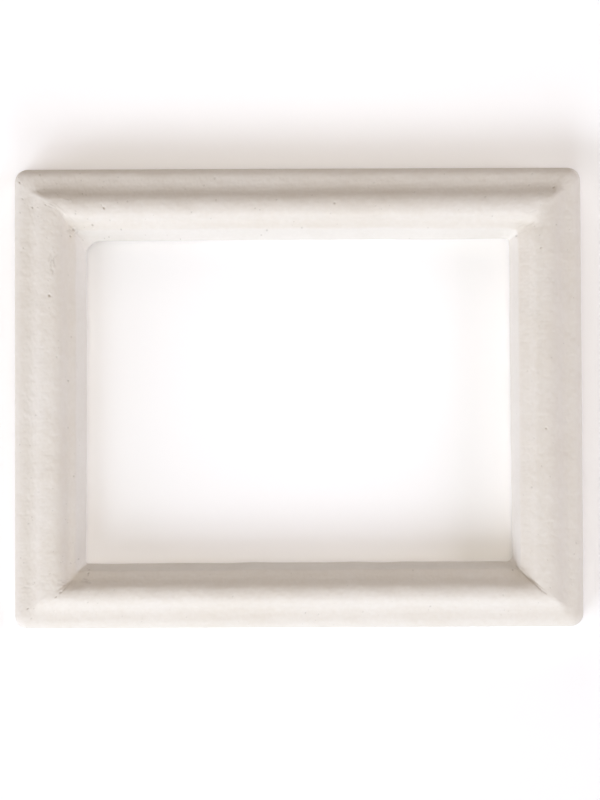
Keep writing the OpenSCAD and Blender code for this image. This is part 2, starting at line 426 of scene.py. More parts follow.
class Side(Enum):
    """The four sides of the frame, with the direction along each and the direction inwards."""

    TOP = ("top", (1.0, 0.0), (0.0, -1.0))
    BOTTOM = ("bottom", (-1.0, 0.0), (0.0, 1.0))
    LEFT = ("left", (0.0, 1.0), (1.0, 0.0))
    RIGHT = ("right", (0.0, -1.0), (-1.0, 0.0))

    @property
    def label(self) -> str:
        """Name of the side."""
        return self.value[0]

    @property
    def along(self) -> Array:
        """Unit vector along the side, with the frame's middle on its right."""
        return np.array(self.value[1])

    @property
    def inward(self) -> Array:
        """Unit vector from the outer side towards the opening."""
        return np.array(self.value[2])


@dataclass(frozen=True)
class EdgeBow:
    """How far a line of the moulding strays, at its lower or left end, its middle and its other end."""

    first: float
    middle: float
    last: float

    def at(self, place: Array) -> Array:
        """The parabola through the three values.

        Args:
            place: place along the edge, from -1 to 1.

        Returns:
            How far the edge strays there.
        """
        straight = (self.last - self.first) / 2.0
        bend = (self.last + self.first) / 2.0 - self.middle
        return self.middle + straight * place + bend * place * place


def bows(left: tuple, right: tuple, top: tuple, bottom: tuple) -> dict:
    """One bow for each side, from its values at the first end, the middle and the last end."""
    values = {Side.LEFT: left, Side.RIGHT: right, Side.TOP: top, Side.BOTTOM: bottom}
    return {side: EdgeBow(*three) for side, three in values.items()}


@dataclass(frozen=True)
class Pull:
    """A place at a mitre from which the moulding is pulled aside, less and less with distance."""

    x: float
    z: float
    move_x: float
    move_z: float
    reach: float

    def share(self, x: Array, z: Array) -> Array:
        """Share of the move at each point: exp(-(distance / reach)^2)."""
        return np.exp(-((x - self.x) ** 2 + (z - self.z) ** 2) / (self.reach * self.reach))


@dataclass(frozen=True)
class Ridge:
    """A low ridge, or a hollow where its height is negative, that runs along one side."""

    side: Side
    inset: float
    width: float
    height: float


@dataclass(frozen=True)
class HandErrors:
    """The moulding isn't quite true: its cove, crest, lip and sight edge lie a little in or out.

    Positive values lie further in from the outer side.
    """

    cove: dict = field(
        default_factory=lambda: bows(
            left=(0.3, 0.4, 0.3), right=(0.1, 0.2, 0.1), top=(1.6, 1.5, 0.9), bottom=(0.0, 0.0, 0.0)
        )
    )
    crest: dict = field(
        default_factory=lambda: bows(
            left=(1.4, 1.4, 1.4), right=(0.6, 0.6, 0.6), top=(2.1, 1.6, 1.9), bottom=(-1.0, -1.05, -1.0)
        )
    )
    lip: dict = field(
        default_factory=lambda: bows(
            left=(-0.3, 0.0, 0.0),
            right=(0.5, 0.7, 0.5),
            top=(-0.2, -0.5, -0.1),
            bottom=(-1.75, -1.75, -1.45),
        )
    )
    sight: dict = field(
        default_factory=lambda: bows(
            left=(-0.1, 1.0, 0.4), right=(-0.2, 0.8, 0.5), top=(1.05, 0.7, 0.55), bottom=(-2.2, -1.95, -1.8)
        )
    )
    cove_ramp: Pair = (2.0, 9.0)
    crest_ramp: Pair = (8.5, 16.0)
    inner_ramp: Pair = (18.5, 27.0)
    pull_ramp: float = 4.0
    pulls: tuple = (
        Pull(-110.8, 192.4, 1.7, 1.7, 6.0),
        Pull(110.5, 192.2, -1.1, 1.1, 4.5),
        Pull(107.4, 183.4, 1.3, -1.3, 5.0),
        Pull(100.9, 178.7, -0.5, -1.0, 4.0),
        Pull(-102.0, 23.2, 1.2, -1.2, 6.0),
        Pull(98.7, 24.9, -0.9, -0.9, 5.0),
    )
    ridges: tuple = (
        Ridge(Side.LEFT, 27.2, 1.6, 0.45),
        Ridge(Side.LEFT, 23.9, 1.8, -0.30),
        Ridge(Side.TOP, 27.4, 1.8, 0.35),
        Ridge(Side.TOP, 23.6, 1.8, -0.30),
        Ridge(Side.BOTTOM, 24.0, 2.0, -0.15),
    )
    mitre_blend: float = 2.0
    opposite_blend: float = 0.5

    @staticmethod
    def insets(x: Array, z: Array, size: Pair) -> dict:
        """Distance in from each outer side.

        Args:
            x: place across, in millimetres.
            z: place up, in millimetres.
            size: outer width and height.

        Returns:
            The distances, by side.
        """
        width, height = size
        return {
            Side.LEFT: x + width / 2.0,
            Side.RIGHT: width / 2.0 - x,
            Side.TOP: height - z,
            Side.BOTTOM: z,
        }

    def ridge_relief(self, x: Array, z: Array, size: Pair) -> Array:
        """Height of the ridges, which fade into those of the next side across the mitres.

        Args:
            x: place across, in millimetres.
            z: place up, in millimetres.
            size: outer width and height.

        Returns:
            The added height at each point.
        """
        insets = self.insets(x, z, size)
        blend = self.mitre_blend
        total = np.zeros(np.broadcast(x, z).shape)
        for ridge in self.ridges:
            own = insets[ridge.side]
            share = 1.0
            for side, inset in insets.items():
                if side is not ridge.side:
                    share = share * smooth_ramp(inset - own, -blend, blend)
            total += ridge.height * share * np.exp(-(((own - ridge.inset) / ridge.width) ** 2))
        return total

    def shift(self, x: Array, z: Array, w: Array, size: Pair, heights: Pair) -> tuple[Array, Array]:
        """In-plane shift of points of the moulding.

        Each axis takes the shift of its two opposite sides, blended across the opening. With
        its inset a point's shift goes from nothing to the cove's, the crest's and the inner
        edge's, and on the inner wall it goes from the sight edge's to the lip's with height.
        The pulls at the mitres come on top, and fade out at the outer edge.

        Args:
            x: place across, in millimetres.
            z: place up, in millimetres.
            w: height above the back.
            size: outer width and height.
            heights: heights of the sight edge and of the lip.

        Returns:
            The shift along x and the shift along z.
        """
        width, height = size
        insets = self.insets(x, z, size)
        rise = np.clip((w - heights[0]) / (heights[1] - heights[0]), 0.0, 1.0)
        across, up = x / (width / 2.0), (z - height / 2.0) / (height / 2.0)
        amounts = {}
        for side, inset in insets.items():
            place = up if side in (Side.LEFT, Side.RIGHT) else across
            edge = (1.0 - rise) * self.sight[side].at(place) + rise * self.lip[side].at(place)
            cove = smooth_ramp(inset, *self.cove_ramp)
            crest = smooth_ramp(inset, *self.crest_ramp)
            inner = smooth_ramp(inset, *self.inner_ramp)
            outer = cove * (1.0 - crest) * self.cove[side].at(place) + crest * self.crest[side].at(place)
            amounts[side] = (1.0 - inner) * outer + inner * edge
        to_right = smooth_ramp(across, -self.opposite_blend, self.opposite_blend)
        to_top = smooth_ramp(up, -self.opposite_blend, self.opposite_blend)
        dx = amounts[Side.LEFT] * (1.0 - to_right) - amounts[Side.RIGHT] * to_right
        dz = amounts[Side.BOTTOM] * (1.0 - to_top) - amounts[Side.TOP] * to_top
        nearest = np.minimum.reduce(list(insets.values()))
        for pull in self.pulls:
            share = pull.share(x, z) * smooth_ramp(nearest, 0.0, self.pull_ramp)
            dx = dx + pull.move_x * share
            dz = dz + pull.move_z * share
        return dx, dz


@dataclass(frozen=True)
class ToolMark:
    """A straight groove or ridge left by a tool: its height falls off as a bell across it."""

    start: Pair
    end: Pair
    width: float
    height: float

    def bell(self, x: Array, z: Array) -> Array:
        """The bell itself, one on the mark's line.

        Args:
            x: place across.
            z: place up.

        Returns:
            The share at each point, shaped like x.
        """
        run = np.array(self.end) - np.array(self.start)
        length = float(np.linalg.norm(run))
        along = ((x - self.start[0]) * run[0] + (z - self.start[1]) * run[1]) / length
        off = ((x - self.start[0]) * run[1] - (z - self.start[1]) * run[0]) / length
        beyond = np.maximum(np.maximum(-along, along - length), 0.0)
        return np.exp(-np.minimum((off * off + beyond * beyond) / (self.width * self.width), BELL_END))


@dataclass(frozen=True)
class Chatter:
    """A patch of short marks that a scraper left, all lying roughly one way."""

    seed: int
    centre: Pair
    spread: Pair
    angle: float
    count: int
    length: float = 1.8
    height: float = 0.16
    scatter: float = 0.5
    turn_scatter: float = 14.0
    length_shares: Pair = (0.5, 1.4)
    height_shares: Pair = (0.5, 1.3)
    widths: Pair = (0.25, 0.45)

    def marks(self) -> tuple[ToolMark, ...]:
        """The patch's marks, ridges and grooves by turns, drawn from its seed.

        Returns:
            The marks.
        """
        rng = np.random.default_rng(self.seed)
        made = []
        for number in range(self.count):
            middle = np.array(self.centre) + rng.normal(0.0, self.scatter, 2) * np.array(self.spread)
            half = 0.5 * self.length * rng.uniform(*self.length_shares)
            reach = half * direction(self.angle + rng.normal(0.0, self.turn_scatter))
            height = self.height * rng.uniform(*self.height_shares) * (1.0 if number % 2 else -1.0)
            start, end = middle - reach, middle + reach
            made.append(ToolMark(tuple(start), tuple(end), rng.uniform(*self.widths), height))
        return tuple(made)


@dataclass(frozen=True)
class Pinhole:
    """An air bubble that opened at the surface: a round pit with steep walls."""

    x: float
    z: float
    radius: float
    depth: float

    def bell(self, x: Array, z: Array) -> Array:
        """Share of the pit's depth at each point: exp(-(distance / radius)^4)."""
        distance = ((x - self.x) ** 2 + (z - self.z) ** 2) / (self.radius * self.radius)
        return np.exp(-np.minimum(distance * distance, BELL_END))


@dataclass(frozen=True)
class PinholePatch:
    """Pinholes scattered over an oblong of the frame's front."""

    seed: int
    low: Pair
    high: Pair
    count: int
    radii: Pair = (0.18, 0.36)
    depth_shares: Pair = (0.5, 1.0)

    def pinholes(self) -> tuple[Pinhole, ...]:
        """The patch's pinholes, drawn from its seed; small ones are the most common.

        Returns:
            The pinholes.
        """
        rng = np.random.default_rng(self.seed)
        made = []
        for _ in range(self.count):
            x, z = rng.uniform(self.low, self.high)
            radius = self.radii[0] + (self.radii[1] - self.radii[0]) * rng.random() ** 2
            made.append(Pinhole(x, z, radius, radius * rng.uniform(*self.depth_shares)))
        return tuple(made)


@dataclass(frozen=True)
class CastSurface:
    """Everything that makes the cast face uneven, as height added to the true moulding."""

    pinholes: tuple
    marks: tuple
    swell: RandomWaves = RandomWaves(11, 14.0, 60.0, 0.09)
    ripple: RandomWaves = RandomWaves(12, 2.5, 9.0, 0.050)
    grain: RandomWaves = RandomWaves(13, 1.4, 2.6, 0.026, 60)
    wander_x: RandomWaves = RandomWaves(21, 12.0, 70.0, 0.12)
    wander_z: RandomWaves = RandomWaves(22, 12.0, 70.0, 0.12)
    # Grooves this deep or deeper take the full painted shade
    full_shade_groove_depth: float = 0.3

    def relief(self, x: Array, z: Array) -> tuple[Array, Array]:
        """Waves lowered to stay under the crest, marks and pits.

        Args:
            x: place across.
            z: place up.

        Returns:
            The added height, and how strongly each point is painted with the shade of a pit or groove, from
            0 to 1.
        """
        room = self.swell.amplitude + self.ripple.amplitude + self.grain.amplitude
        total = self.swell(x, z) + self.ripple(x, z) + self.grain(x, z) - room
        pit = np.zeros_like(total)
        for mark in self.marks:
            bell = mark.bell(x, z)
            total += mark.height * bell
            # Grooves and pinholes get a share of painted shade, which the material darkens
            pit = np.maximum(pit, bell * min(max(-mark.height / self.full_shade_groove_depth, 0.0), 1.0))
        for hole in self.pinholes:
            bell = hole.bell(x, z)
            total -= hole.depth * bell
            pit = np.maximum(pit, bell)
        return total, pit


def photo_surface() -> CastSurface:
    """The unevenness with its clearest pinholes and tool marks where the photograph shows them.

    Returns:
        The surface.
    """
    clear = (
        (-112.0, 150.2, 0.7), (99.3, 177.0, 0.6), (-14.0, 180.0, 0.5), (-101.9, 180.6, 0.55),
        (-87.3, 189.7, 0.6), (-107.2, 16.8, 0.5), (1.9, 181.0, 0.45), (-95.2, 24.9, 0.5),
        (16.7, 191.4, 0.5), (115.9, 198.5, 0.55), (-103.1, 177.4, 0.5), (-93.0, 182.5, 0.5),
        (-125.9, 202.0, 0.5), (-80.1, 180.5, 0.45), (-104.1, 111.9, 0.45), (-109.2, 14.7, 0.45),
        (96.5, 25.5, 0.45), (-122.3, 9.3, 0.45), (111.4, 89.4, 0.45), (-37.4, 203.5, 0.45),
        (-119.9, 190.4, 0.45), (-110.4, 166.0, 0.4), (109.6, 170.9, 0.45), (-101.7, 68.8, 0.4),
    )
    patches = (
        PinholePatch(31, (-127.0, 175.0), (-84.0, 206.0), 34),
        PinholePatch(32, (-126.0, 4.0), (-88.0, 32.0), 22),
        PinholePatch(33, (-84.0, 176.0), (84.0, 206.0), 26),
        PinholePatch(34, (84.0, 176.0), (127.0, 206.0), 12),
        PinholePatch(35, (-88.0, 3.0), (84.0, 28.0), 18),
        PinholePatch(36, (84.0, 3.0), (126.0, 32.0), 12),
        PinholePatch(37, (-127.0, 32.0), (-100.0, 175.0), 30),
        PinholePatch(38, (100.0, 32.0), (127.0, 175.0), 18),
    )
    chatter = (
        Chatter(41, (-101.8, 179.8), (3.0, 2.2), 20.0, 14),
        Chatter(42, (-111.0, 190.6), (1.6, 0.8), -20.0, 5),
        Chatter(43, (-103.8, 193.0), (3.0, 0.8), -20.0, 6, 2.4, 0.10),
        Chatter(44, (-110.6, 164.0), (1.4, 8.5), 80.0, 16, 2.2, 0.14),
        Chatter(45, (-104.5, 21.0), (2.4, 2.6), 0.0, 9, 1.6, 0.12),
        Chatter(46, (-96.0, 21.8), (1.8, 0.8), -25.0, 6, 2.2, 0.20),
        Chatter(47, (-106.2, 20.2), (3.4, 3.6), 12.0, 10, 2.0, 0.09),
        Chatter(48, (101.0, 25.0), (2.2, 2.2), -50.0, 5, 2.4, 0.10),
        Chatter(49, (101.0, 183.0), (7.0, 5.5), 10.0, 16, 2.2, 0.08),
        Chatter(50, (109.5, 195.5), (1.4, 0.6), 10.0, 3, 1.6, 0.12),
        Chatter(51, (-97.0, 120.0), (12.0, 3.0), 85.0, 6, 3.0, 0.05),
        Chatter(52, (-101.6, 181.0), (2.4, 3.0), -40.0, 9, 2.6, 0.11),
    )
    lines = (
        ToolMark((98.4, 27.1), (104.0, 21.1), 0.40, -0.20),
        ToolMark((104.0, 21.1), (108.2, 17.2), 0.40, -0.22),
        ToolMark((108.2, 17.2), (110.9, 15.2), 0.35, -0.18),
        ToolMark((99.6, 27.6), (103.0, 23.6), 0.40, 0.12),
        ToolMark((-107.3, 16.1), (-105.4, 18.2), 0.35, -0.16),
        ToolMark((-105.4, 18.2), (-102.2, 21.6), 0.45, -0.12),
        ToolMark((-124.0, 19.0), (-121.4, 18.6), 0.35, -0.15),
        ToolMark((-110.0, 191.6), (-104.9, 187.3), 0.50, 0.16),
    )
    scattered = tuple(hole for patch in patches for hole in patch.pinholes())
    scraped = tuple(mark for patch in chatter for mark in patch.marks())
    return CastSurface(
        pinholes=tuple(Pinhole(x, z, 0.85 * radius, radius) for x, z, radius in clear) + scattered,
        marks=lines + scraped,
    )


# The casting


@dataclass(frozen=True)
class CornerShape:
    """Softness of one mitre, as a radius in the plan, at the bead, crest, hollow, lip and sight edge."""

    crest: float
    hollow: float
    sight: float
    bead: float = 3.0
    lip: float = 0.8

    def crease_radii(self) -> tuple[float, ...]:
        """The radii at the insets that the casting names."""
        return self.bead, self.bead, self.crest, self.crest, self.hollow, self.hollow, self.lip


@dataclass
class PlasterCasting:
    """The plaster frame: four faces carried round the moulding, and the worked back.

    The corners are named by whether they are on the right, and at the top.
    """

    width: float = 257.0
    height: float = 208.0
    moulding: Moulding = field(default_factory=Moulding)
    surface: CastSurface = field(default_factory=photo_surface)
    errors: HandErrors = field(default_factory=HandErrors)
    corners: dict = field(
        default_factory=lambda: {
            (False, True): CornerShape(1.0, 1.2, 7.0, lip=0.4),
            (True, True): CornerShape(1.3, 0.9, 1.2, lip=1.4),
            (False, False): CornerShape(2.4, 0.5, 1.4),
            (True, False): CornerShape(1.3, 0.4, 3.0),
        }
    )
    crease_insets: tuple = (0.0, 7.5, 10.5, 15.0, 18.5, 24.0, 27.0)
    columns_long: int = 660
    columns_short: int = 600
    edge_columns: int = 240
    end_crowding: float = 0.32
    side_ramp: Pair = (1.0, 8.0)
    wander_ramp: Pair = (0.0, 2.0)
    # Half-width of the fade of the inner wall's painted bounce light at the lip
    wall_fade: float = 1.0
    back_bevel: float = 0.3
    back_seam: float = 0.1
    near: float = 0.01
    near_side: float = 0.02
    near_face: float = 0.12
    above_ledge: float = 0.2

    def corner_radii(self, section: Array, corner: CornerShape) -> Array:
        """Radius in the plan of each row's corner.

        It is the outer radius less the inset, but no less than the crease's own softness.
        From the lip down the inner wall it goes over to the sight edge's radius, and along
        the ledge to the rebate's.

        Args:
            section: (u, w) of each row.
            corner: how this corner is rounded.

        Returns:
            One radius for each row.
        """
        mould = self.moulding
        u, w = section[:, 0], section[:, 1]
        crease = np.interp(u, self.crease_insets, corner.crease_radii())
        turned = np.maximum(mould.corner_radius - u, crease)
        fall = smooth_ramp(-w, -mould.lip_height(), -mould.rebate_depth)
        fall = np.where(u > mould.rail_width - 2.0 * mould.rebate_lip, fall, 0.0)
        wall = (1.0 - fall) * turned + fall * corner.sight
        along_ledge = np.clip((mould.rail_width - u) / mould.rebate_lip, 0.0, 1.0)
        ledge = (1.0 - along_ledge) * corner.sight + along_ledge * mould.rebate_corner_radius
        on_ledge = (w < mould.rebate_depth + mould.sight_edge_radius / 2.0) & (u > mould.rail_width / 2.0)
        return np.where(on_ledge, ledge, wall)

    def plan(self, side: Side, section: Array, columns: int) -> Array:
        """Places every row of the section along one side, seen from the front.

        A row at inset u runs straight and then turns through 45 degrees round the corner's
        centre, which lies u + r in from both outer sides. The share t of the row's length
        crowds the columns towards both corners.

        Args:
            side: which side of the frame.
            section: (u, w) of each row.
            columns: number of columns.

        Returns:
            Array (rows, columns, 2) of x and z in millimetres.
        """
        t = np.linspace(-1.0, 1.0, columns)
        t = t * (1.0 + self.end_crowding) - self.end_crowding * t**3
        half = (self.width if side in (Side.TOP, Side.BOTTOM) else self.height) / 2.0
        middle = np.array([0.0, self.height / 2.0])
        start_corner, end_corner = [
            self.corner_radii(section, self.corners[self.corner_at(side, end)]) for end in (-1, 1)
        ]
        radius = np.where(t[None] < 0.0, start_corner[:, None], end_corner[:, None])
        inset = section[:, :1]
        straight = half - inset - radius
        travelled = np.abs(t)[None] * (straight + radius * math.pi / 4.0)
        bend = np.maximum(radius, TOUCHING)
        turn = np.clip((travelled - straight) / bend, 0.0, math.pi / 4.0) * (radius > 0.0)
        along = np.sign(t)[None] * (np.minimum(travelled, straight) + radius * np.sin(turn))
        inward = inset + radius * (1.0 - np.cos(turn))
        reach = self.height / 2.0 if side in (Side.TOP, Side.BOTTOM) else self.width / 2.0
        start = middle - reach * side.inward
        return start + along[..., None] * side.along + inward[..., None] * side.inward

    @staticmethod
    def corner_at(side: Side, end: int) -> tuple[bool, bool]:
        """Whether the corner at one end of a side is on the right, and at the top."""
        x, z = side.along * end - side.inward
        return bool(x > 0), bool(z > 0)

    def face_points(self, side: Side, columns: int) -> tuple[Array, Array, Array]:
        """Points of one side's face: the true moulding with the hand's and mould's errors added.

        Args:
            side: which side of the frame.
            columns: number of columns.

        Returns:
            Array (rows, columns, 3) of x, y, z in millimetres, and two arrays (rows, columns): how strongly
            each point takes the painted shade of a pit or groove, and how strongly it takes the painted
            bounce light of the inner wall.
        """
        mould = self.moulding
        section = mould.section()
        plan = self.plan(side, section, columns)
        x, z = plan[..., 0], plan[..., 1]
        u = np.broadcast_to(section[:, :1], x.shape)
        w = np.broadcast_to(section[:, 1:], x.shape)
        ledge_row = (w < mould.rebate_depth + TOUCHING) & (u > mould.rail_width / 2.0)
        wall_line = mould.rail_width - mould.rebate_lip
        sight_line = mould.rail_width - 2.0 * mould.sight_edge_radius
        inner = np.where(ledge_row, smooth_ramp(u, wall_line, sight_line), 1.0)
        outer = np.where(u < mould.rail_width / 2.0, smooth_ramp(w, *self.side_ramp), 1.0)
        size = (self.width, self.height)
        dx, dz = self.errors.shift(x, z, w, size, (mould.rebate_depth, mould.lip_height()))
        wander = inner * outer * smooth_ramp(u, *self.wander_ramp)
        new_x = x + inner * dx + wander * self.surface.wander_x(x, z)
        new_z = z + inner * dz + wander * self.surface.wander_z(x, z)
        relief, pit = self.surface.relief(new_x, new_z)
        relief = relief + self.errors.ridge_relief(x, z, size)
        share = np.where(ledge_row, 0.0, outer)
        y = mould.depth / 2.0 - np.minimum(w + relief * share, mould.depth)
        # Mask of the painted bounce light: the inner wall below the lip, not the ledge or the outer side
        below_lip = smooth_ramp(mould.lip_height() - w, -self.wall_fade, self.wall_fade)
        wall = np.where(ledge_row | (u < mould.rail_width / 2.0), 0.0, below_lip)
        return np.stack([new_x, y, new_z], axis=-1), pit * share, wall

    def back_edge_rows(self) -> int:
        """Number of the section's first rows, which round the edge between the back and the sides."""
        return int(np.sum(np.cumsum(self.moulding.section()[:, 1] > self.moulding.back_edge_radius) == 0))

    def face(self, side: Side) -> Piece:
        """Builds one side's face, a grid of section rows by columns, with masks for its painted pit shade
        and its painted wall bounce light.

        Args:
            side: which side of the frame.

        Returns:
            The new object.
        """
        columns = self.columns_long if side in (Side.TOP, Side.BOTTOM) else self.columns_short
        first = self.back_edge_rows() - 1
        points, pit, wall = [part[first:] for part in self.face_points(side, columns)]
        faces = grid_faces(points.shape[0], points.shape[1], flip=True)
        made = new_object(f"plaster_face_{side.label}", points.reshape(-1, 3), faces)
        # Masks of the painted shade of pits and grooves and of the inner wall's painted bounce light
        for name, share in (("pit", pit), ("wall_bounce_light", wall)):
            made.data.attributes.new(name, "FLOAT", "POINT").data.foreach_set("value", share.ravel())
        return made

    def back_edge(self) -> Piece:
        """Builds the rounding between the back and the outer sides, all four sides in one piece.

        Returns:
            The new object.
        """
        rows = self.back_edge_rows()
        strips = [self.face_points(side, self.edge_columns)[0][:rows] for side in Side]
        faces = grid_faces(rows, self.edge_columns, flip=True)
        each = rows * self.edge_columns
        cloud = np.concatenate([strip.reshape(-1, 3) for strip in strips])
        quads = np.concatenate([faces + number * each for number in range(len(strips))])
        return new_object("plaster_back_edge", cloud, quads)

    def back(self) -> Piece:
        """The back with its rebate, pockets and recesses, from the CAD casting's own faces.

        Faces of the CAD mesh that the four faces stand for are left out: the outer wall, the
        moulding, the inner wall and the ledge. The back's outer edge moves in by the rounding
        there, and the edges left are bevelled.

        Returns:
            The new object.
        """
        mould = self.moulding
        work = merged_copy(CASTING_NODE)
        corners = np.array([vertex.co for vertex in work.verts]) / MM
        x, w, z = corners[:, 0], mould.depth / 2.0 - corners[:, 1], corners[:, 2]
        inset = self.outline_inset(x, z)
        curve = mould.section()[2:]
        lowest = mould.rebate_depth + self.above_ledge
        top = curve[:, 1] > lowest
        surface = np.interp(inset, curve[top, 0], curve[top, 1])
        on_face = (np.abs(w - surface) < self.near_face) & (w > lowest)
        on_side = inset < self.near_side
        ledge_start = mould.rail_width - mould.rebate_lip - self.near
        on_ledge = (np.abs(w - mould.rebate_depth) < self.near) & (inset > ledge_start)
        shown = on_face | on_side | on_ledge
        work.verts.ensure_lookup_table()
        drop = [f for f in work.faces if all(shown[v.index] for v in f.verts)]
        bmesh.ops.delete(work, geom=drop, context="FACES")
        made = softened_object(work, "plaster_back", self.back_bevel)
        self.pull_in_back_edge(made.data)
        return made

    def outline_inset(self, x: Array, z: Array) -> Array:
        """Distance in from the rounded outer outline: its corner radius less the distance to its core.

        Args:
            x: place across, in millimetres.
            z: place up, in millimetres.

        Returns:
            The distance at each point, below zero outside.
        """
        radius = self.moulding.corner_radius
        across = np.abs(x) - (self.width / 2.0 - radius)
        up = np.abs(z - self.height / 2.0) - (self.height / 2.0 - radius)
        round_part = np.hypot(np.maximum(across, 0.0), np.maximum(up, 0.0))
        return radius - (round_part + np.minimum(np.maximum(across, up), 0.0))

    def pull_in_back_edge(self, mesh: bpy.types.Mesh) -> None:
        """Moves the back face's outer edge in by the radius that rounds it and a narrow seam.

        Args:
            mesh: the back's mesh.
        """
        mould = self.moulding
        points = np.empty(len(mesh.vertices) * 3, np.float32)
        mesh.vertices.foreach_get("co", points)
        points = points.reshape(-1, 3) / MM
        x, z = points[:, 0], points[:, 2] - self.height / 2.0
        on_side = self.outline_inset(x, points[:, 2]) < self.near_side
        edge = on_side & (points[:, 1] > mould.depth / 2.0 - self.near)
        radius, back = mould.corner_radius, mould.back_edge_radius + self.back_seam
        core_x = np.clip(x, radius - self.width / 2.0, self.width / 2.0 - radius)
        core_z = np.clip(z, radius - self.height / 2.0, self.height / 2.0 - radius)
        out_x, out_z = x - core_x, z - core_z
        share = np.where(edge, (radius - back) / radius, 1.0)
        points[:, 0] = core_x + out_x * share
        points[:, 2] = core_z + out_z * share + self.height / 2.0
        mesh.vertices.foreach_set("co", (points * MM).astype(np.float32).ravel())
        mesh.update()

    def build(self, face_finish: "PlasterFinish", back_finish: "PlasterFinish") -> list[Piece]:
        """Builds the faces and the back, dresses them and puts them on the frame's body.

        Args:
            face_finish: finish of the moulded face.
            back_finish: finish of the back.

        Returns:
            The new objects.
        """
        faces = [self.face(side) for side in Side]
        backs = [self.back_edge(), self.back()]
        for piece in faces + backs:
            finish = face_finish if piece in faces else back_finish
            fit(piece, finish, FRAME_BODY, CASTING_NODE, "plaster")
        return faces + backs


# Metal fittings at the back


@dataclass(frozen=True)
class TurnButtonPlace:
    """One turn button's name, where its screw stands, and which way its tip points."""

    label: str
    x: float
    z: float
    angle: float


@dataclass(frozen=True)
class TurnButtons:
    """Six flat brass turn buttons with rounded edges, each on its own body."""

    thickness: float = 1.2
    head_radius: float = 4.5
    tip_radius: float = 3.0
    reach: float = 13.0
    hole_radius: float = 1.55
    edge_radius: float = 0.3
    edge_rows: int = 5
    spacing: float = 0.3
    back_y: float = 10.6
    places: tuple = (
        TurnButtonPlace("top_left", -55.0, 188.75, 0.0),
        TurnButtonPlace("top_right", 55.0, 188.75, 180.0),
        TurnButtonPlace("bottom_left", -55.0, 19.25, 0.0),
        TurnButtonPlace("bottom_right", 55.0, 19.25, 180.0),
        TurnButtonPlace("left", -109.25, 104.0, -90.0),
        TurnButtonPlace("right", 109.25, 104.0, -90.0),
    )

    def outline(self, inset: float) -> Array:
        """Outline of the button, moved in by an inset: two arcs joined by their tangents.

        Args:
            inset: distance in from the true outline.

        Returns:
            Points (x, z) round the outline, the screw's axis at the origin.
        """
        tip_x = self.reach - self.tip_radius
        lean = math.degrees(math.acos((self.head_radius - self.tip_radius) / tip_x))
        head = arc_points(np.zeros(2), self.head_radius, lean, 360.0 - lean, self.spacing)
        tip = arc_points(np.array([tip_x, 0.0]), self.tip_radius, -lean, lean, self.spacing)
        below = line_points(head[-1], tip[0], 3 * self.spacing)[1:-1]
        above = line_points(tip[-1], head[0], 3 * self.spacing)[1:-1]
        loop = np.concatenate([head, below, tip, above])
        run = np.roll(loop, -1, axis=0) - np.roll(loop, 1, axis=0)
        normal = np.stack([run[:, 1], -run[:, 0]], axis=-1)
        return loop - inset * normal / np.linalg.norm(normal, axis=1, keepdims=True)

    def rows(self) -> Array:
        """Closed loop of rows: out over one face, round the edge, in over the other, down the hole.

        Each row is the outline moved in, or a circle round the hole with one point on each
        ray through the outline's points, at a height through the thickness.

        Returns:
            Array (rows, points, 3) of x, y, z, the button's back face at y = 0.
        """
        true_line = self.outline(0.0)
        ray = true_line / np.linalg.norm(true_line, axis=1, keepdims=True)
        turn = np.radians(np.linspace(0.0, 90.0, self.edge_rows))
        closing = self.edge_radius * (1.0 - np.sin(turn))
        opening = self.edge_radius * (1.0 - np.cos(turn))
        thick, bore = self.thickness, self.hole_radius
        rows = [(self.outline(inset), depth) for inset, depth in zip(closing, opening)]
        rows += [(self.outline(inset), thick - depth) for inset, depth in zip(opening, closing)]
        rows += [(ray * (bore + inset), thick - depth) for inset, depth in zip(closing, opening)]
        rows += [(ray * (bore + inset), depth) for inset, depth in zip(opening, closing)]
        return np.stack([np.stack([p[:, 0], np.full(len(p), -d), p[:, 1]], axis=-1) for p, d in rows])

    def build(self, finish: "MetalFinish") -> list[Piece]:
        """Builds the six buttons, each turned to its place, dressed and on its body.

        Args:
            finish: finish of the brass.

        Returns:
            The new objects.
        """
        made = []
        rows = self.rows()
        faces = grid_faces(len(rows) + 1, rows.shape[1], wrap_columns=True)
        faces = faces % (len(rows) * rows.shape[1])
        for place in self.places:
            points = placed(rows, math.radians(place.angle), place.x, self.back_y, place.z)
            piece = new_object(f"brass_turn_button_{place.label}", points.reshape(-1, 3), faces)
            fit(piece, finish, f"button_{place.label}", f"turn_button_{place.label}", "brass")
            made.append(piece)
        return made


class ScrewHead(Enum):
    """The two shapes of screw head."""

    DOMED = "domed"
    COUNTERSUNK = "countersunk"


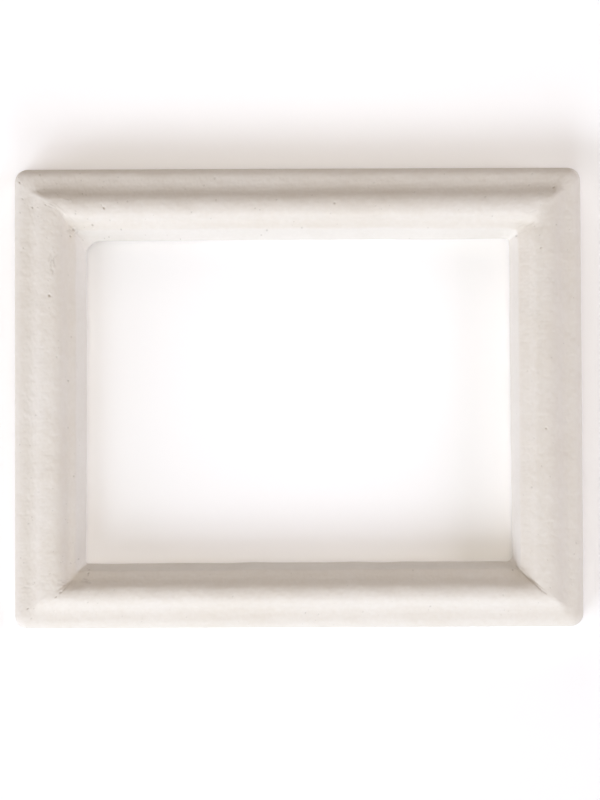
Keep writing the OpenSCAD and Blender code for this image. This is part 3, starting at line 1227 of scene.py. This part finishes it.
@dataclass(frozen=True)
class CrossScrews:
    """A set of equal wood screws with a cross recess, seen from behind the frame."""

    name: str
    node: str
    material_slot: str
    head: ScrewHead
    head_height: float
    neck: float
    head_y: float
    places: tuple
    head_radius: float = 3.1
    shank_radius: float = 1.5
    core_radius: float = 1.1
    shank_length: float = 10.0
    point_length: float = 2.5
    tip_radius: float = 0.3
    pitch: float = 1.3
    cross_width: float = 0.75
    cross_reach: float = 1.9
    cross_depth: float = 0.9
    cross_wall: Pair = (-0.12, 0.08)
    cross_end: float = 0.9
    dome_share: float = 1.7
    edge_radius: float = 0.15
    axis_radius: float = 0.05
    face_start: float = 0.1
    face_share: float = 0.999
    face_rows: int = 30
    spacing: float = 0.3
    thread_rows: int = 8
    sharp_angle: float = 50.0
    columns: int = 72

    def recess(self, x: Array, z: Array) -> Array:
        """Depth of the cross recess: two arms with sloping walls, deepest in the middle.

        Args:
            x: place across the head.
            z: place up the head.

        Returns:
            The depth at each point.
        """
        half = self.cross_width / 2.0
        total = np.zeros(np.broadcast(x, z).shape)
        for along, across in ((x, z), (z, x)):
            wall = 1.0 - smooth_ramp(np.abs(across), half + self.cross_wall[0], half + self.cross_wall[1])
            end = 1.0 - smooth_ramp(np.abs(along), self.cross_reach - self.cross_end, self.cross_reach)
            total = np.maximum(total, wall * end)
        return self.cross_depth * total

    def outline(self) -> tuple[Array, Array]:
        """Radius and depth below the head's top of each row, and the share of thread on it.

        Returns:
            Array (rows, 2) of radius and depth, and an array of shares.
        """
        head, high = self.head_radius, self.head_height
        face_r = np.linspace(self.face_start, head - self.edge_radius, self.face_rows)
        if self.head is ScrewHead.DOMED:
            ball = head * self.dome_share
            face_d = ball - np.sqrt(ball * ball - face_r * face_r)
            under = [[head, face_d[-1] + self.edge_radius], [head, high], [self.shank_radius, high]]
        else:
            face_d = np.zeros_like(face_r)
            under = [[head, self.edge_radius], [self.shank_radius, high]]
        neck_end = high + self.neck
        end = neck_end + self.shank_length
        threaded = np.arange(neck_end, end + self.point_length, self.pitch / self.thread_rows)
        tip_share = np.clip((threaded - end) / self.point_length, 0.0, 1.0)
        radius = self.shank_radius + (self.tip_radius - self.shank_radius) * tip_share
        rows = np.concatenate(
            [
                np.stack([face_r, face_d], axis=-1),
                line_points(np.array(under[-2]), np.array(under[-1]), self.spacing),
                np.array([[self.shank_radius, high + 0.5 * self.neck]]),
                np.stack([radius, threaded], axis=-1),
                np.array([[self.tip_radius * 0.5, end + self.point_length]]),
            ]
        )
        if len(under) == 3:
            rows = np.insert(rows, len(face_r), under[0], axis=0)
        thread = np.zeros(len(rows))
        thread[-len(threaded) - 1 : -1] = smooth_ramp(threaded, neck_end, neck_end + self.pitch)
        return rows, thread

    def points(self) -> Array:
        """Points of one screw: the outline turned round its axis, cut by recess and thread.

        The thread's depth is a triangle wave of the place along the axis less the turn.

        Returns:
            Array (rows, columns, 3) of x, y, z, the head's top at y = 0 and the tip at -y.
        """
        rows, thread = self.outline()
        turn = np.linspace(0.0, math.tau, self.columns, endpoint=False)[None]
        radius, depth = rows[:, :1], rows[:, 1:]
        wave = np.abs((depth / self.pitch - turn / math.tau) % 1.0 - 0.5) * 2.0
        cut = (self.shank_radius - self.core_radius) * thread[:, None] * wave
        radius = np.maximum(radius - cut, self.axis_radius)
        x, z = radius * np.cos(turn), radius * np.sin(turn)
        on_face = depth < self.head_height * self.face_share
        depth = depth + np.where(on_face, self.recess(x, z), 0.0)
        return np.stack([x, -np.broadcast_to(depth, x.shape), z], axis=-1)

    def build(self, finish: "MetalFinish") -> Piece:
        """Builds all the screws as one piece, each turned a little differently.

        Args:
            finish: finish of the metal.

        Returns:
            The new object.
        """
        points = self.points()
        count, columns = points.shape[:2]
        rng = np.random.default_rng(len(self.places))
        cloud = np.concatenate([points.reshape(-1, 3), [points[0].mean(0), points[-1].mean(0)]])
        sides = grid_faces(count, columns, wrap_columns=True, flip=True)
        ring = np.arange(columns)
        following = np.roll(ring, -1)
        top_middle, tip_middle = np.full(columns, count * columns), np.full(columns, count * columns + 1)
        lowest = (count - 1) * columns
        top = np.stack([following, ring, top_middle], axis=-1)
        tip = np.stack([lowest + ring, lowest + following, tip_middle], axis=-1)
        ends = np.concatenate([top, tip])
        clouds, quads, fans = [], [], []
        for number, (x, z) in enumerate(self.places):
            clouds.append(placed(cloud, rng.uniform(0.0, math.tau), x, self.head_y, z))
            quads.append(sides + number * len(cloud))
            fans.append(ends + number * len(cloud))
        piece = new_object(self.name, np.concatenate(clouds), np.concatenate(quads), np.concatenate(fans))
        piece.data.set_sharp_from_angle(angle=math.radians(self.sharp_angle))
        fit(piece, finish, FRAME_BODY, self.node, self.material_slot)
        return piece


@dataclass(frozen=True)
class HangerPlates:
    """The two zinc-plated keyhole plates, with softened edges, and where their screws stand."""

    bevel: float = 0.22
    screw_x: Pair = (-115.5, 115.5)
    screw_z: Pair = (131.0, 165.0)

    def screw_places(self) -> tuple:
        """Place (x, z) of each screw."""
        return tuple((x, z) for x in self.screw_x for z in self.screw_z)

    def build(self, finish: "MetalFinish") -> list[Piece]:
        """Builds both plates from their CAD solids' faces, dresses them and puts them on the frame.

        Args:
            finish: finish of the plates.

        Returns:
            The new objects.
        """
        made = []
        for side in ("left", "right"):
            node = f"hanger_plate_{side}"
            piece = softened_object(merged_copy(node), f"keyhole_plate_{side}", self.bevel)
            fit(piece, finish, FRAME_BODY, node, "zinc_plate")
            made.append(piece)
        return made


# Finishes


def dress(piece: Piece, material: bpy.types.Material) -> None:
    """Gives a piece one material in place of what it has."""
    piece.data.materials.clear()
    piece.data.materials.append(material)


def fit(piece: Piece, finish: "Finish", body: str, node: str, slot: str) -> None:
    """Dresses a piece, sets what it rides on, and hides the CAD node that it stands for.

    Args:
        piece: the piece.
        finish: its finish.
        body: the body that it rides on.
        node: the CAD node that it replaces.
        slot: name of the material's slot; not used.
    """
    dress(piece, finish.material())
    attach(piece, body)
    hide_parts(node)


class Nodes:
    """A node tree with short ways to add and join nodes."""

    def __init__(self, tree: bpy.types.NodeTree) -> None:
        """Keeps the tree."""
        self.tree = tree

    @classmethod
    def cleared(cls, owner: bpy.types.Material | bpy.types.World) -> "Nodes":
        """The nodes of a new material or world, with what it starts with removed.

        Args:
            owner: the material or world.

        Returns:
            The nodes.
        """
        owner.use_nodes = True
        owner.node_tree.nodes.clear()
        return cls(owner.node_tree)

    def add(self, kind: str, inputs: dict | None = None, **settings: object) -> bpy.types.Node:
        """Adds a node and sets its properties and inputs.

        Args:
            kind: the node's type.
            inputs: value or source socket of each input, by name or number.
            settings: properties of the node.

        Returns:
            The new node.
        """
        node = self.tree.nodes.new(kind)
        for name, value in settings.items():
            setattr(node, name, value)
        for name, value in (inputs or {}).items():
            if isinstance(value, Socket):
                self.tree.links.new(value, node.inputs[name])
            else:
                node.inputs[name].default_value = value
        return node

    def link(self, source: Socket, target: Socket) -> None:
        """Joins an output to an input."""
        self.tree.links.new(source, target)

    def noise(self, place: Socket, scale: object, detail: float) -> Socket:
        """Factor of a noise texture at a place."""
        made = self.add("ShaderNodeTexNoise", {"Vector": place, "Scale": scale, "Detail": detail})
        return made.outputs["Fac"]

    def patches(self, place: Socket, scale: float, detail: float, low: float, high: float) -> Socket:
        """Noise at a place, from 0 where it is below low to 1 where it is above high."""
        return self.ramp(self.noise(place, scale, detail), low, high)

    def attribute(self, name: str) -> Socket:
        """Value of an attribute of the mesh, or zero where the mesh has none."""
        return self.add("ShaderNodeAttribute", attribute_name=name).outputs["Fac"]

    def ramp(self, value: Socket, low: float, high: float, to: Pair = (0.0, 1.0)) -> Socket:
        """A value carried over from the range low to high to another one, and held at its ends."""
        given = {"Value": value, "From Min": low, "From Max": high, "To Min": to[0], "To Max": to[1]}
        return self.add("ShaderNodeMapRange", given, clamp=True).outputs["Result"]

    def math(self, operation: str, first: object, second: object = 0.0) -> Socket:
        """Result of an arithmetic operation on two values."""
        return self.add("ShaderNodeMath", {0: first, 1: second}, operation=operation).outputs[0]

    def weighed(self, *parts: tuple[Socket, float]) -> Socket:
        """Sum of values, each times its weight.

        Args:
            parts: pairs of a value and its weight.

        Returns:
            The sum.
        """
        total = self.math("MULTIPLY", *parts[0])
        for value, weight in parts[1:]:
            total = self.math("ADD", total, self.math("MULTIPLY", value, weight))
        return total

    def mix(self, share: object, first: object, second: object) -> Socket:
        """Colour between two colours.

        Args:
            share: share of the second colour, a value or a socket.
            first: the colour at a share of 0, a value or a socket.
            second: the colour at a share of 1, a value or a socket.

        Returns:
            The mixed colour.
        """
        made = self.add("ShaderNodeMix", data_type="RGBA")
        for index, value in ((0, share), (6, first), (7, second)):
            if isinstance(value, Socket):
                self.tree.links.new(value, made.inputs[index])
            else:
                made.inputs[index].default_value = value
        return made.outputs[2]

    def shader(self, kind: str, *inputs: object) -> Socket:
        """Output of a shader node that takes shares and shaders by their number."""
        return self.add(kind, dict(enumerate(inputs))).outputs[0]

    def surface(self, height: Socket, bump: float, relief: float, inputs: dict) -> Socket:
        """Principled shader whose normal follows a height.

        Args:
            height: the height.
            bump: strength of its effect.
            relief: depth in metres that a height of one stands for.
            inputs: the shader's other inputs, by name.

        Returns:
            The shader's output.
        """
        normal = self.add("ShaderNodeBump", {"Strength": bump, "Distance": relief, "Height": height})
        whole = {**inputs, "Normal": normal.outputs["Normal"]}
        return self.add("ShaderNodeBsdfPrincipled", whole).outputs["BSDF"]

    def grouped_surface(
        self, group: "FinishGroup", given: dict, bump: float, relief: float, inputs: dict
    ) -> Socket:
        """Principled shader whose colour, roughness and height come from a group.

        Args:
            group: the group.
            given: the group's inputs, by name.
            bump: strength of the height's effect.
            relief: depth in metres that a height of one stands for.
            inputs: the shader's other inputs, by name.

        Returns:
            The shader's output.
        """
        made = self.add("ShaderNodeGroup", given, node_tree=group.tree()).outputs
        inputs = {"Base Color": made["Colour"], "Roughness": made["Roughness"], **inputs}
        return self.surface(made["Height"], bump, relief, inputs)


def opaque(colour: Colour) -> tuple[float, float, float, float]:
    """A colour with full cover."""
    return (*colour, 1.0)


class SocketKind(Enum):
    """Kinds of group sockets."""

    VALUE = "NodeSocketFloat"
    COLOUR = "NodeSocketColor"


@dataclass(frozen=True)
class FinishGroup:
    """A node group with outputs Colour, Roughness and Height, made once and then shared."""

    name: str
    inputs: tuple

    def tree(self) -> bpy.types.NodeTree:
        """The group's node tree.

        Returns:
            The tree, the same one at every call.
        """
        if self.name in bpy.data.node_groups:
            return bpy.data.node_groups[self.name]
        made = bpy.data.node_groups.new(self.name, "ShaderNodeTree")
        outputs = (
            ("Colour", SocketKind.COLOUR),
            ("Roughness", SocketKind.VALUE),
            ("Height", SocketKind.VALUE),
        )
        for way, sockets in (("INPUT", self.inputs), ("OUTPUT", outputs)):
            for name, kind in sockets:
                made.interface.new_socket(name=name, in_out=way, socket_type=kind.value)
        nodes = Nodes(made)
        given, out = nodes.add("NodeGroupInput"), nodes.add("NodeGroupOutput")
        place = nodes.add("ShaderNodeTexCoord").outputs["Object"]
        for (name, _), socket in zip(outputs, self.fill(nodes, given.outputs, place)):
            nodes.link(socket, out.inputs[name])
        return made

    def fill(self, nodes: Nodes, given: bpy.types.NodeOutputs, place: Socket) -> tuple[Socket, ...]:
        """Adds the group's nodes.

        Args:
            nodes: the group's nodes.
            given: the group's inputs, by name.
            place: coordinates on the piece, in metres.

        Returns:
            Sockets of the colour, the roughness and the height.
        """
        raise NotImplementedError


@dataclass(frozen=True)
class PlasterGrain(FinishGroup):
    """Grain, blotches and pores of cast plaster, with the inner wall painted lighter and cooler as bounce
    light, and painted shade in pores, pits and grooves.
    """

    name: str = "plaster_grain"
    inputs: tuple = (
        ("Light", SocketKind.COLOUR),
        ("Dark", SocketKind.COLOUR),
        ("Grain Scale", SocketKind.VALUE),
        ("Pores", SocketKind.VALUE),
    )
    slow_scale: float = 11.0
    blotch_scale: float = 38.0
    speck_scale: float = 420.0
    weights: tuple = (0.4, 0.35, 0.25)
    pore_scale: float = 260.0
    pore_patch_scale: float = 90.0
    pore_edge: Pair = (0.05, 0.12)
    roughness: Pair = (0.82, 0.96)
    # Lighter, cooler colours that paint bounce light from the white wall onto the inner wall
    bounce_lit_wall_light: Colour = (0.821, 0.781, 0.729)
    bounce_lit_wall_dark: Colour = (0.768, 0.724, 0.662)
    # Colour of the painted shade in pores, pits and grooves
    pit_shade_colour: Colour = (0.33, 0.29, 0.25)
    pore_shade: float = 0.3
    pit_shade: float = 0.38
    pore_depth: float = 2.0

    def fill(self, nodes: Nodes, given: bpy.types.NodeOutputs, place: Socket) -> tuple[Socket, ...]:
        """Adds the group's nodes.

        Args:
            nodes: the group's nodes.
            given: the group's inputs, by name.
            place: coordinates on the piece, in metres.

        Returns:
            Sockets of the colour, the roughness and the height.
        """
        slow = nodes.patches(place, self.slow_scale, detail=2.0, low=0.3, high=0.7)
        blotch = nodes.patches(place, self.blotch_scale, detail=4.0, low=0.35, high=0.65)
        speck = nodes.patches(place, self.speck_scale, detail=3.0, low=0.3, high=0.7)
        grain = nodes.noise(place, given["Grain Scale"], detail=5.0)
        cell = nodes.add("ShaderNodeTexVoronoi", {"Vector": place, "Scale": self.pore_scale})
        pore = nodes.ramp(cell.outputs["Distance"], *self.pore_edge, to=(1.0, 0.0))
        pored = nodes.patches(place, self.pore_patch_scale, detail=2.0, low=0.56, high=0.66)
        pore = nodes.math("MULTIPLY", nodes.math("MULTIPLY", pore, pored), given["Pores"])
        share = nodes.weighed(*zip((blotch, speck, slow), self.weights))
        open_face = nodes.mix(share, given["Dark"], given["Light"])
        # Painted bounce light: the inner wall takes the lighter, cooler colours
        wall_bounce_light = nodes.mix(share, opaque(self.bounce_lit_wall_dark), opaque(self.bounce_lit_wall_light))
        colour = nodes.mix(nodes.attribute("wall_bounce_light"), open_face, wall_bounce_light)
        # Painted shade: pores, pinholes and grooves are darkened towards a dark brown
        shaded_pore = nodes.math("MULTIPLY", pore, self.pore_shade)
        shaded_pit = nodes.math("MULTIPLY", nodes.attribute("pit"), self.pit_shade)
        colour = nodes.mix(nodes.math("MAXIMUM", shaded_pore, shaded_pit), colour, opaque(self.pit_shade_colour))
        height = nodes.math("SUBTRACT", grain, nodes.math("MULTIPLY", pore, self.pore_depth))
        return colour, nodes.ramp(grain, low=0.3, high=0.7, to=self.roughness), height


@dataclass(frozen=True)
class MetalWear(FinishGroup):
    """Tarnish, fine scratches and handling marks of plated or bare metal."""

    name: str = "metal_wear"
    inputs: tuple = (
        ("Clean", SocketKind.COLOUR),
        ("Tarnish", SocketKind.COLOUR),
        ("Tarnish Amount", SocketKind.VALUE),
        ("Smooth", SocketKind.VALUE),
        ("Rough", SocketKind.VALUE),
    )
    blotch_scale: float = 220.0
    fine_scale: float = 1500.0
    scratch_scale: tuple = (60.0, 900.0, 2600.0)
    scratch_depth: float = 0.6
    weights: tuple = (0.6, 0.4)

    def fill(self, nodes: Nodes, given: bpy.types.NodeOutputs, place: Socket) -> tuple[Socket, ...]:
        """Adds the group's nodes.

        Args:
            nodes: the group's nodes.
            given: the group's inputs, by name.
            place: coordinates on the piece, in metres.

        Returns:
            Sockets of the colour, the roughness and the height.
        """
        blotch = nodes.patches(place, self.blotch_scale, detail=4.0, low=0.38, high=0.68)
        fine = nodes.noise(place, self.fine_scale, detail=4.0)
        stretched = nodes.add("ShaderNodeMapping", {"Vector": place, "Scale": self.scratch_scale})
        scratch = nodes.patches(stretched.outputs["Vector"], 1.0, detail=2.0, low=0.58, high=0.7)
        share = nodes.math("MULTIPLY", blotch, given["Tarnish Amount"])
        colour = nodes.mix(share, given["Clean"], given["Tarnish"])
        worn = nodes.weighed(*zip((blotch, fine), self.weights))
        span = nodes.math("SUBTRACT", given["Rough"], given["Smooth"])
        rough = nodes.math("ADD", given["Smooth"], nodes.math("MULTIPLY", worn, span))
        height = nodes.math("SUBTRACT", fine, nodes.math("MULTIPLY", scratch, self.scratch_depth))
        return colour, rough, height


@dataclass(frozen=True)
class Finish:
    """A finish, as a material that is made once and then shared."""

    name: str

    def material(self) -> bpy.types.Material:
        """The finish as a material.

        Returns:
            The material, the same one at every call.
        """
        if self.name in bpy.data.materials:
            return bpy.data.materials[self.name]
        made = bpy.data.materials.new(self.name)
        nodes = Nodes.cleared(made)
        nodes.add("ShaderNodeOutputMaterial", {"Surface": self.surface(nodes)})
        return made

    def surface(self, nodes: Nodes) -> Socket:
        """The shader's output, after the finish's nodes are added."""
        raise NotImplementedError


@dataclass(frozen=True)
class PlasterFinish(Finish):
    """Matte cast plaster: off-white, blotched and grained, with fine pores."""

    light: Colour
    dark: Colour
    grain_scale: float
    bump: float
    pores: float = 1.0
    relief: float = 0.00008
    specular: float = 0.25

    def surface(self, nodes: Nodes) -> Socket:
        """Adds the finish's nodes.

        Args:
            nodes: the material's nodes.

        Returns:
            The shader's output.
        """
        given = {
            "Light": opaque(self.light),
            "Dark": opaque(self.dark),
            "Grain Scale": self.grain_scale,
            "Pores": self.pores,
        }
        shine = {"Specular IOR Level": self.specular}
        return nodes.grouped_surface(PlasterGrain(), given, self.bump, self.relief, shine)


@dataclass(frozen=True)
class MetalFinish(Finish):
    """Bare or plated metal with tarnish and fine scratches."""

    clean: Colour
    tarnish: Colour
    amount: float
    smooth: float
    rough: float
    bump: float = 0.25
    relief: float = 0.00002

    def surface(self, nodes: Nodes) -> Socket:
        """Adds the finish's nodes.

        Args:
            nodes: the material's nodes.

        Returns:
            The shader's output.
        """
        given = {
            "Clean": opaque(self.clean),
            "Tarnish": opaque(self.tarnish),
            "Tarnish Amount": self.amount,
            "Smooth": self.smooth,
            "Rough": self.rough,
        }
        return nodes.grouped_surface(MetalWear(), given, self.bump, self.relief, {"Metallic": 1.0})


@dataclass(frozen=True)
class NylonFinish(Finish):
    """Moulded white nylon, slightly waxy."""

    name: str = "moulded_nylon"
    light: Colour = (0.74, 0.73, 0.69)
    dark: Colour = (0.66, 0.64, 0.59)
    cloud_scale: float = 300.0
    fine_scale: float = 2500.0
    roughness: Pair = (0.38, 0.5)
    bump: float = 0.15
    relief: float = 0.00002
    subsurface: float = 0.15
    subsurface_depth: float = 0.0005

    def surface(self, nodes: Nodes) -> Socket:
        """Adds the finish's nodes.

        Args:
            nodes: the material's nodes.

        Returns:
            The shader's output.
        """
        place = nodes.add("ShaderNodeTexCoord").outputs["Object"]
        cloud = nodes.patches(place, self.cloud_scale, detail=3.0, low=0.35, high=0.65)
        fine = nodes.noise(place, self.fine_scale, detail=2.0)
        inputs = {
            "Base Color": nodes.mix(cloud, opaque(self.light), opaque(self.dark)),
            "Roughness": nodes.ramp(fine, low=0.3, high=0.7, to=self.roughness),
            "Subsurface Weight": self.subsurface,
            "Subsurface Scale": self.subsurface_depth,
        }
        return nodes.surface(fine, self.bump, self.relief, inputs)


CAST_FACE = PlasterFinish(
    "cast_plaster_face", (0.812, 0.767, 0.708), (0.752, 0.692, 0.612), grain_scale=900.0, bump=0.5
)
CAST_BACK = PlasterFinish(
    "cast_plaster_back", (0.79, 0.75, 0.695), (0.73, 0.68, 0.61), grain_scale=500.0, bump=0.9
)
BRASS = MetalFinish("brass", (0.80, 0.60, 0.31), (0.50, 0.35, 0.19), amount=0.7, smooth=0.25, rough=0.5)
BRASS_SCREW = MetalFinish(
    "brass_plated_screw", (0.84, 0.66, 0.36), (0.60, 0.44, 0.24), amount=0.4, smooth=0.18, rough=0.38
)
ZINC = MetalFinish("zinc_plate", (0.66, 0.67, 0.68), (0.50, 0.51, 0.53), amount=0.6, smooth=0.28, rough=0.5)
ZINC_SCREW = MetalFinish(
    "zinc_screw", (0.70, 0.71, 0.72), (0.55, 0.56, 0.58), amount=0.5, smooth=0.22, rough=0.42
)


# Studio


COOL = (0.925, 0.953, 1.113)
CLEAR = (0.90, 0.988, 1.103)
WARM = (1.13, 1.03, 0.827)
AMBER = (1.45, 0.85, 0.70)


@dataclass(frozen=True)
class Lamp:
    """A soft round lamp that looks at the middle of the frame from a direction round it.

    The turn is measured in the wall's plane, from 0 at the right to 90 above, and the rise is
    the angle above the wall; a lamp with a rise below zero stands behind the wall. The power
    is in watts, and the size and the distance are in metres.
    """

    name: str
    turn: float
    rise: float
    power: float
    size: float = 1.0
    distance: float = 2.2
    colour: Colour = (1.0, 1.0, 1.0)

    def build(self, target: Array) -> Piece:
        """Makes the lamp and turns it to what it looks at.

        Args:
            target: the point that it looks at, in metres.

        Returns:
            The new lamp, linked to the scene.
        """
        data = bpy.data.lights.new(self.name, "AREA")
        data.shape = "DISK"
        data.size = self.size
        data.energy = self.power
        data.color = self.colour
        made = linked(self.name, data)
        turn, rise = math.radians(self.turn), math.radians(self.rise)
        away = np.array(
            [math.cos(rise) * math.cos(turn), -math.sin(rise), math.cos(rise) * math.sin(turn)]
        )
        made.matrix_world = look_matrix(target + self.distance * away, away)
        made.visible_camera = False
        return made


def look_matrix(place: Array, away: Array) -> Matrix:
    """Matrix of a lamp, whose local +Z points away from what it looks at.

    Args:
        place: where the lamp stands, in metres.
        away: direction from what it looks at to the lamp.

    Returns:
        The matrix.
    """
    back = away / np.linalg.norm(away)
    right = np.cross((0.0, 0.0, 1.0), back)
    right = right / np.linalg.norm(right)
    up = np.cross(back, right)
    matrix = Matrix.Identity(4)
    for row in range(3):
        matrix[row][0], matrix[row][1], matrix[row][2] = right[row], up[row], back[row]
        matrix[row][3] = place[row]
    return matrix


@dataclass(frozen=True)
class Studio:
    """White wall behind the frame, a pale world, the camera and the lamps.

    The lamps light everything. The wall's own lamps light it alone, so that its shadows are as
    soft as in the photograph, and the back's lamps light the pieces at the back alone.
    """

    back_pieces: tuple
    lamps: tuple = (
        Lamp("window_lamp", 270.0, 29.0, 13.1, colour=CLEAR),
        Lamp("window_side_lamp", 230.0, 35.0, 16.8, colour=CLEAR),
        Lamp("left_lamp", 200.0, 20.0, 15.3, colour=COOL),
        Lamp("right_lamp", 0.0, 25.0, 17.6, colour=COOL),
        Lamp("front_lamp", 270.0, 89.0, 9.2, colour=WARM),
        Lamp("top_lamp", 90.0, 45.0, 0.6, colour=AMBER),
    )
    wall_lamps: tuple = (
        Lamp("backdrop_lamp", 90.0, 26.6, 0.62, size=0.3, distance=0.56),
        Lamp("opening_lamp", 28.0, 43.0, 0.009, size=0.04, distance=0.118, colour=(0.95, 1.0, 1.05)),
    )
    back_lamps: tuple = (
        Lamp("back_key_lamp", 60.0, -45.0, 20.0, size=1.4),
        Lamp("back_fill_lamp", 215.0, -50.0, 10.0, size=2.0),
    )
    wall_gap: float = 0.0002
    wall_size: float = 4.0
    wall_colour: float = 0.9
    seen_colour: Colour = (0.96, 0.948, 0.942)
    seen_glow: float = 0.035
    world_level: float = 0.18
    world_colour: Colour = (1.11, 0.965, 0.865)
    camera_place: tuple = (-0.00195, -1.2, 0.06806)
    yaw: float = 0.1270
    pitch: float = 1.6643
    roll: float = -0.2436
    lens: float = 118.856
    sensor: float = 36.0
    clip: Pair = (0.01, 50.0)

    def camera(self) -> None:
        """Camera at the photograph's place, fitted to the frame's outline."""
        data = bpy.data.cameras.new("photo_camera")
        data.lens = self.lens
        data.sensor_fit = "AUTO"
        data.sensor_width = self.sensor
        data.clip_start, data.clip_end = self.clip
        made = linked("photo_camera", data)
        made.matrix_world = (
            Matrix.Translation(self.camera_place)
            @ Matrix.Rotation(-math.radians(self.yaw), 4, "Z")
            @ Matrix.Rotation(math.radians(90.0 + self.pitch), 4, "X")
            @ Matrix.Rotation(math.radians(self.roll), 4, "Z")
        )
        bpy.context.scene.camera = made

    def wall_material(self) -> bpy.types.Material:
        """White wall that shows white to the camera, keeps shadows, and isn't seen from behind.

        Returns:
            The material.
        """
        made = bpy.data.materials.new("white_wall")
        nodes = Nodes.cleared(made)
        plain = nodes.shader("ShaderNodeBsdfDiffuse", opaque((self.wall_colour,) * 3))
        shown = nodes.shader("ShaderNodeBsdfDiffuse", opaque(self.seen_colour))
        glow = nodes.add("ShaderNodeEmission", {"Strength": self.seen_glow}).outputs[0]
        bright = nodes.shader("ShaderNodeAddShader", shown, glow)
        front = nodes.shader("ShaderNodeMixShader", self.seen_rays(nodes), plain, bright)
        behind = nodes.add("ShaderNodeNewGeometry").outputs["Backfacing"]
        clear = nodes.shader("ShaderNodeBsdfTransparent")
        whole = nodes.shader("ShaderNodeMixShader", behind, front, clear)
        nodes.add("ShaderNodeOutputMaterial", {"Surface": whole})
        return made

    @staticmethod
    def seen_rays(nodes: Nodes) -> Socket:
        """One for camera, glossy and transmission rays, and zero for the rest.

        Args:
            nodes: the nodes of the material or world.

        Returns:
            The value's socket.
        """
        path = nodes.add("ShaderNodeLightPath").outputs
        either = nodes.math("MAXIMUM", path["Is Camera Ray"], path["Is Glossy Ray"])
        return nodes.math("MAXIMUM", either, path["Is Transmission Ray"])

    def wall(self, back_y: float, middle_z: float) -> Piece:
        """Builds the wall, facing the camera just behind the frame.

        Args:
            back_y: place of the frame's back, in metres.
            middle_z: height of the frame's middle, in metres.

        Returns:
            The new object.
        """
        half = self.wall_size / 2.0 / MM
        y = (back_y + self.wall_gap) / MM
        low, high = middle_z / MM - half, middle_z / MM + half
        corners = np.array([[-half, y, low], [half, y, low], [half, y, high], [-half, y, high]])
        made = new_object("white_wall", corners, np.array([[0, 1, 2, 3]]))
        dress(made, self.wall_material())
        return made

    def world(self) -> None:
        """Pale world that lights the frame evenly and shows white."""
        made = bpy.data.worlds.new("pale_world")
        nodes = Nodes.cleared(made)
        light = nodes.shader("ShaderNodeBackground", opaque(self.world_colour), self.world_level)
        white = nodes.shader("ShaderNodeBackground", opaque((1.0, 1.0, 1.0)), 1.0)
        whole = nodes.shader("ShaderNodeMixShader", self.seen_rays(nodes), light, white)
        nodes.add("ShaderNodeOutputWorld", {"Surface": whole})
        bpy.context.scene.world = made

    @staticmethod
    def light_only(name: str, lit: tuple, lamps: tuple, target: Array) -> None:
        """Builds lamps that light some pieces alone, and are shaded by them alone.

        Args:
            name: name of the collection that holds the pieces.
            lit: the pieces.
            lamps: the lamps.
            target: the point that they look at, in metres.
        """
        group = bpy.data.collections.new(name)
        for piece in lit:
            group.objects.link(piece)
        for lamp in lamps:
            made = lamp.build(target)
            made.light_linking.receiver_collection = group
            made.light_linking.blocker_collection = group

    def build(self) -> None:
        """Builds the camera, the wall, the world and the lamps."""
        low, high = [np.array(corner) for corner in CAD_BOX]
        middle = (low + high) / 2.0
        self.camera()
        self.world()
        wall = self.wall(float(high[1]), float(middle[2]))
        for lamp in self.lamps:
            lamp.build(middle)
        self.light_only("backdrop", (wall,), self.wall_lamps, middle)
        self.light_only("back_pieces", self.back_pieces, self.back_lamps, middle)
        bpy.context.scene.view_settings.view_transform = "Standard"


def main() -> None:
    """Builds the frame's pieces in order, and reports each."""
    logging.basicConfig(level=logging.INFO, format="%(name)s: %(message)s")
    buttons, plates = TurnButtons(), HangerPlates()
    pivot_screws = CrossScrews(
        name="button_pivot_screws",
        node="button_screws",
        material_slot="brass_screw",
        head=ScrewHead.DOMED,
        head_height=1.5,
        neck=1.4,
        head_y=12.2,
        places=tuple((place.x, place.z) for place in buttons.places),
    )
    plate_screws = CrossScrews(
        name="keyhole_plate_screws",
        node="hanger_screws",
        material_slot="zinc_screw",
        head=ScrewHead.COUNTERSUNK,
        head_height=1.3,
        neck=0.3,
        head_y=12.35,
        places=plates.screw_places(),
    )
    pieces = PlasterCasting().build(CAST_FACE, CAST_BACK)
    pieces += buttons.build(BRASS)
    pieces.append(pivot_screws.build(BRASS_SCREW))
    pieces += plates.build(ZINC)
    pieces.append(plate_screws.build(ZINC_SCREW))
    for node in ("button_plugs", "hanger_plugs"):
        dress(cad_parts[node], NylonFinish().material())
    for piece in pieces:
        LOG.info("%s: %d faces", piece.name, len(piece.data.polygons))
    Studio(back_pieces=tuple(pieces[len(Side) :])).build()


if __name__ == "__main__":
    main()
